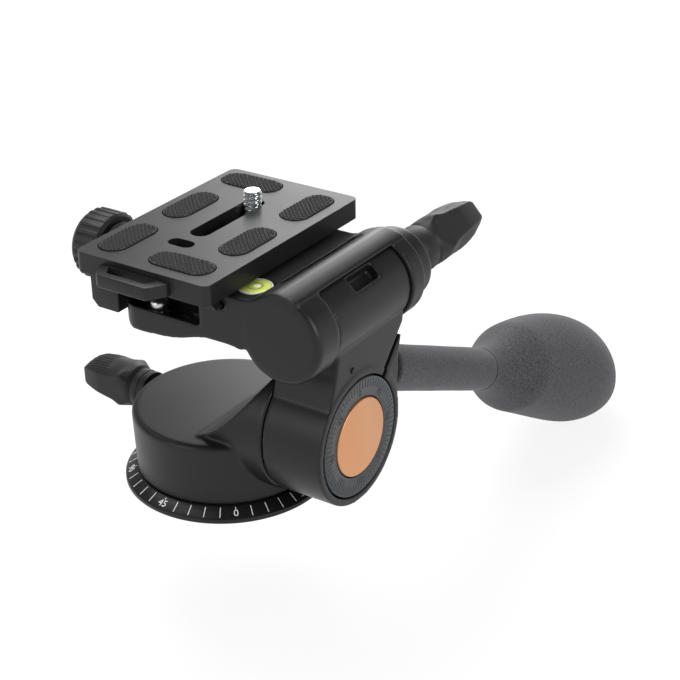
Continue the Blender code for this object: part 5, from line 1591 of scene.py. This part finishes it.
def hatch_tree():
    """Small studs on a turned grid, kept where they lie inside a round-ended pad."""
    tree = bpy.data.node_groups.new("pad_hatch", "GeometryNodeTree")
    tree.interface.new_socket("Geometry", in_out="INPUT", socket_type="NodeSocketGeometry")
    for label, kind, value in (
        ("Half Length", "NodeSocketFloat", 0.0098),
        ("Half Width", "NodeSocketFloat", 0.0043),
        ("Pitch", "NodeSocketFloat", 0.001),
        ("Finish", "NodeSocketMaterial", None),
    ):
        socket = tree.interface.new_socket(label, in_out="INPUT", socket_type=kind)
        if value is not None:
            socket.default_value = value
    tree.interface.new_socket("Geometry", in_out="OUTPUT", socket_type="NodeSocketGeometry")
    given = tree.nodes.new("NodeGroupInput")
    result = tree.nodes.new("NodeGroupOutput")
    link = tree.links.new

    def figure(operation, first, second=None, third=None):
        node = tree.nodes.new("ShaderNodeMath")
        node.operation = operation
        for place, value in enumerate((first, second, third)):
            if isinstance(value, (int, float)):
                node.inputs[place].default_value = value
            elif value is not None:
                link(value, node.inputs[place])
        return node.outputs[0]

    side = figure("MULTIPLY", given.outputs["Half Length"], 3.0)
    cells = figure("ROUND", figure("DIVIDE", side, given.outputs["Pitch"]))
    width = figure("MULTIPLY", cells, given.outputs["Pitch"])
    field = tree.nodes.new("GeometryNodeMeshGrid")
    link(width, field.inputs["Size X"])
    link(width, field.inputs["Size Y"])
    count = figure("ADD", cells, 1.0)
    link(count, field.inputs["Vertices X"])
    link(count, field.inputs["Vertices Y"])
    turned = tree.nodes.new("GeometryNodeTransform")
    turned.inputs["Rotation"].default_value = (0.0, 0.0, math.radians(45.0))
    link(field.outputs["Mesh"], turned.inputs["Geometry"])
    where = tree.nodes.new("GeometryNodeInputPosition")
    parts = tree.nodes.new("ShaderNodeSeparateXYZ")
    link(where.outputs[0], parts.inputs[0])
    reach = figure("SUBTRACT", given.outputs["Half Length"], given.outputs["Half Width"])
    past = figure("MAXIMUM", figure("SUBTRACT", figure("ABSOLUTE", parts.outputs["X"]), reach), 0.0)
    aside = figure("MULTIPLY", parts.outputs["Y"], parts.outputs["Y"])
    distance = figure("SQRT", figure("ADD", figure("MULTIPLY", past, past), aside))
    room = figure("MULTIPLY_ADD", given.outputs["Pitch"], -0.50, given.outputs["Half Width"])
    kept = figure("LESS_THAN", distance, room)
    place = tree.nodes.new("GeometryNodeInstanceOnPoints")
    link(turned.outputs[0], place.inputs["Points"])
    link(kept, place.inputs["Selection"])
    link(given.outputs["Geometry"], place.inputs["Instance"])
    place.inputs["Rotation"].default_value = (0.0, 0.0, math.radians(45.0))
    real = tree.nodes.new("GeometryNodeRealizeInstances")
    paint = tree.nodes.new("GeometryNodeSetMaterial")
    link(place.outputs[0], real.inputs[0])
    link(real.outputs[0], paint.inputs["Geometry"])
    link(given.outputs["Finish"], paint.inputs["Material"])
    link(paint.outputs[0], result.inputs[0])
    return tree


pad_hatch = hatch_tree()
HATCH_PITCH = 0.00105
HATCH_HEIGHT = 0.00035
PAD_FACE = PAD_PROUD - 0.00015
hatch_middle = PAD_FACE + HATCH_HEIGHT * 0.35
black_rubber = finish(
    "black_rubber",
    (0.0100, 0.0100, 0.0105),
    (0.0150, 0.0150, 0.0156),
    0.60,
    0.72,
    sheen=0.30,
    bump=0.25,
    depth=0.00003,
)
for number, pad_x, pad_y, along in PADS:
    turned_by = 0.0 if along == "x" else math.pi / 2.0
    pad_place = Matrix.Translation((pad_x, pad_y, PLATE_TOP)) @ Matrix.Rotation(turned_by, 4, "Z")
    pad_outline = pill(0.0, 0.0, PAD_HALF_LENGTH, PAD_HALF_WIDTH, "x")
    pad = outline_solid(f"pad_body_{number}", pad_outline, "XY", -PAD_DEPTH, PAD_FACE)
    pad_edge = pad.modifiers.new("edge", "BEVEL")
    pad_edge.width = 0.0002
    pad_edge.segments = 2
    pad_edge.limit_method = "ANGLE"
    pad_edge.angle_limit = math.radians(60.0)
    pad = settle(pad, pad_place, black_rubber, crease=18.0)
    stud_work = bmesh.new()
    bmesh.ops.create_cone(
        stud_work,
        cap_ends=True,
        segments=4,
        radius1=HATCH_PITCH * 0.66,
        radius2=HATCH_PITCH * 0.30,
        depth=HATCH_HEIGHT,
        matrix=Matrix.Translation((0.0, 0.0, hatch_middle)) @ Matrix.Rotation(math.pi / 4.0, 4, "Z"),
    )
    stud_mesh = bpy.data.meshes.new(f"hatch_stud_{number}")
    stud_work.to_mesh(stud_mesh)
    stud_work.free()
    hatch = add(bpy.data.objects.new(f"pad_hatch_{number}", stud_mesh))
    hatch_change = hatch.modifiers.new("hatch", "NODES")
    hatch_change.node_group = pad_hatch
    set_inputs(
        hatch_change,
        Half_Length=PAD_HALF_LENGTH,
        Half_Width=PAD_HALF_WIDTH,
        Pitch=HATCH_PITCH,
        Finish=black_rubber,
    )
    hatch = settle(hatch, pad_place, black_rubber, crease=18.0)
    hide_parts(f"pad_{number}")
    for piece in (pad, hatch):
        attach(piece, "plate")

# Camera screw
# A bright plated quarter-inch screw, held in the plate's slot by its wide
# head, so that it can slide to suit the camera.
chrome = finish("bright_chrome", (0.62, 0.63, 0.65), (0.70, 0.71, 0.72), 0.12, 0.22, metallic=1.0, bump=0.05)
THREAD_PITCH = 0.00127
THREAD_DEPTH = 0.00050
THREAD_ROUND = 64


def thread_wall(radius, depth, pitch, low, high, top_chamfer, outward=1.0):
    """Rings of a thread between two heights, whose ridge climbs once in each pitch."""
    rings = []
    rows = max(int(round((high - low) / pitch * 10.0)), 4)
    for row in range(rows + 1):
        height = low + (high - low) * row / rows
        ring = []
        for index in range(THREAD_ROUND):
            angle = 2.0 * math.pi * index / THREAD_ROUND
            phase = (height / pitch - index / THREAD_ROUND) % 1.0
            ridge = min(abs(phase - 0.5) * 2.4, 1.0)
            reach = radius - outward * depth * ridge
            if top_chamfer > 0.0:
                reach = min(reach, radius - max(height - (high - top_chamfer), 0.0))
            ring.append(Vector((reach * math.cos(angle), reach * math.sin(angle), height)))
        rings.append(ring)
    return rings


def plain_ring(radius, height):
    """A ring of a thread's own number of points."""
    ring = []
    for index in range(THREAD_ROUND):
        angle = 2.0 * math.pi * index / THREAD_ROUND
        ring.append(Vector((radius * math.cos(angle), radius * math.sin(angle), height)))
    return ring


camera_rings = [
    plain_ring(0.0041, 0.0668),
    plain_ring(0.0045, 0.0671),
    plain_ring(0.0045, 0.0720),
    plain_ring(0.0043, 0.0722),
    plain_ring(0.0023, 0.0722),
]
camera_rings += thread_wall(0.0027, THREAD_DEPTH, THREAD_PITCH, 0.0724, 0.0804, 0.0005)
screw_place = Vector((SCREW_X, SCREW_Y, 0.0))
camera_rings = [[point + screw_place for point in ring] for ring in camera_rings]
camera_screw = grid_skin("camera_screw_threaded", camera_rings, chrome, crease=32.0)
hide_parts("camera_screw")
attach(camera_screw, "plate_screw")

# Safety pin
# A small sprung steel button in the front pocket. It keeps the plate from
# sliding out until it is pressed, and its coil spring sits under its collar.
bright_steel = finish(
    "bright_steel",
    (0.50, 0.51, 0.53),
    (0.60, 0.61, 0.62),
    0.22,
    0.32,
    metallic=1.0,
    bump=0.05,
)
PIN_X = -0.0065
PIN_Y = -0.0182
pin = turn(
    "safety_button",
    [
        (0.0, 0.0610),
        (0.0008, 0.06096),
        (0.0015, 0.0608),
        (0.0020, 0.0605),
        (0.0023, 0.0602),
        (0.0024, 0.0599),
        (0.0024, 0.0580),
        (0.0014, 0.0580),
        (0.0014, 0.0530),
        (0.0, 0.0530),
    ],
    Matrix.Translation((PIN_X, PIN_Y, 0.0)),
    bright_steel,
    edge=0.00015,
)
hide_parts("safety_pin")
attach(pin, "safety")
COIL_FOOT = 0.0550
COIL_TOP = 0.0575
COIL_TURNS = 4
COIL_RADIUS = 0.00195
COIL_WIRE = 0.00022
COIL_POINTS = 120
coil_curve = bpy.data.curves.new("safety_coil", "CURVE")
coil_curve.dimensions = "3D"
coil_curve.bevel_depth = COIL_WIRE
coil_curve.bevel_resolution = 3
coil_curve.use_fill_caps = True
coil_line = coil_curve.splines.new("POLY")
coil_line.points.add(COIL_POINTS)
for index, point in enumerate(coil_line.points):
    angle = 2.0 * math.pi * COIL_TURNS * index / COIL_POINTS
    height = COIL_FOOT + (COIL_TOP - COIL_FOOT) * index / COIL_POINTS
    point.co = (PIN_X + COIL_RADIUS * math.cos(angle), PIN_Y + COIL_RADIUS * math.sin(angle), height, 1.0)
coil = settle(add(bpy.data.objects.new("safety_coil", coil_curve)), None, bright_steel)
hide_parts("safety_spring")
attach(coil, "platform")
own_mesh(coil)

# Underside and inner hardware
# The disc's brass bush carries the tripod thread and three cross-head screws
# hold the disc to the spindle. The shafts, pins and bushes keep their solids.
brass = finish("turned_brass", (0.50, 0.34, 0.12), (0.60, 0.42, 0.17), 0.26, 0.36, metallic=1.0)
BUSH_BORE = 0.0043
BUSH_THREAD_PITCH = 0.00159
BUSH_WALL = 0.0067
BUSH_CHAMFER = 0.0003
BUSH_FOOT = 0.0002
BUSH_TOP = 0.0082
bush_rings = [
    plain_ring(BUSH_WALL - BUSH_CHAMFER, BUSH_FOOT),
    plain_ring(BUSH_WALL, BUSH_FOOT + BUSH_CHAMFER),
    plain_ring(BUSH_WALL, BUSH_TOP - BUSH_CHAMFER),
    plain_ring(BUSH_WALL - BUSH_CHAMFER, BUSH_TOP),
    plain_ring(BUSH_BORE + 0.0004, BUSH_TOP),
]
bore_rings = thread_wall(BUSH_BORE, 0.0006, BUSH_THREAD_PITCH, 0.0007, 0.0079, 0.0, outward=-1.0)
bush_rings += list(reversed(bore_rings))
bush_rings.append(plain_ring(BUSH_BORE + 0.0006, BUSH_FOOT))
bush_work = bmesh.new()
bush_rows = [[bush_work.verts.new(point) for point in ring] for ring in bush_rings]
for first, second in zip(bush_rows, bush_rows[1:] + bush_rows[:1]):
    for index in range(THREAD_ROUND):
        following = (index + 1) % THREAD_ROUND
        bush_work.faces.new((first[index], first[following], second[following], second[index]))
bmesh.ops.recalc_face_normals(bush_work, faces=bush_work.faces)
bush_mesh = bpy.data.meshes.new("bush_threaded")
bush_work.to_mesh(bush_mesh)
bush_work.free()
bush = settle(add(bpy.data.objects.new("bush_threaded", bush_mesh)), None, brass)
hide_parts("thread_bush")
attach(bush, "base")
head = turn(
    "disc_screw",
    [
        (0.0, 0.0080),
        (0.0012, 0.0080),
        (0.0012, 0.0017),
        (0.0021, 0.0017),
        (0.0021, 0.0006),
        (0.0017, 0.0002),
        (0.0, 0.0002),
    ],
    steps=COARSE,
)
cross = [block("cross_a", (-0.0012, -0.0003, 0.0), (0.0012, 0.0003, 0.0010))]
cross.append(block("cross_b", (-0.0003, -0.0012, 0.0), (0.0003, 0.0012, 0.0010)))
head = carve(head, cut=cross)
head.data.transform(Matrix.Translation((0.00975, 0.0, 0.0)))
disc_screws = ring_copies(
    "disc_screws",
    head.data.copy(),
    3,
    math.radians(30.0),
    math.radians(120.0),
    bright_steel,
)
bpy.data.objects.remove(head, do_unlink=True)
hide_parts("base_screw_1", "base_screw_2", "base_screw_3")
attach(disc_screws, "base")
white_nylon = finish("white_nylon", (0.62, 0.61, 0.57), (0.70, 0.69, 0.65), 0.42, 0.52)
blackened_steel = finish(
    "blackened_steel",
    (0.05, 0.05, 0.055),
    (0.08, 0.08, 0.085),
    0.34,
    0.44,
    metallic=1.0,
)
for hidden, paint in (
    ("pan_spindle", bright_steel),
    ("retaining_screw", bright_steel),
    ("thrust_washer", white_nylon),
    ("tilt_shaft", bright_steel),
    ("shaft_screw", bright_steel),
    ("tilt_washer", white_nylon),
    ("roll_bush_front", brass),
    ("roll_bush_rear", brass),
    ("roll_shaft", bright_steel),
    ("guide_pin_front", bright_steel),
    ("guide_pin_rear", bright_steel),
    ("clamp_stud", bright_steel),
    ("pan_lock_stud", blackened_steel),
    ("roll_lock_bolt", bright_steel),
    ("handle_rod", bright_steel),
):
    for slot in bpy.data.objects[hidden].material_slots:
        slot.material = paint
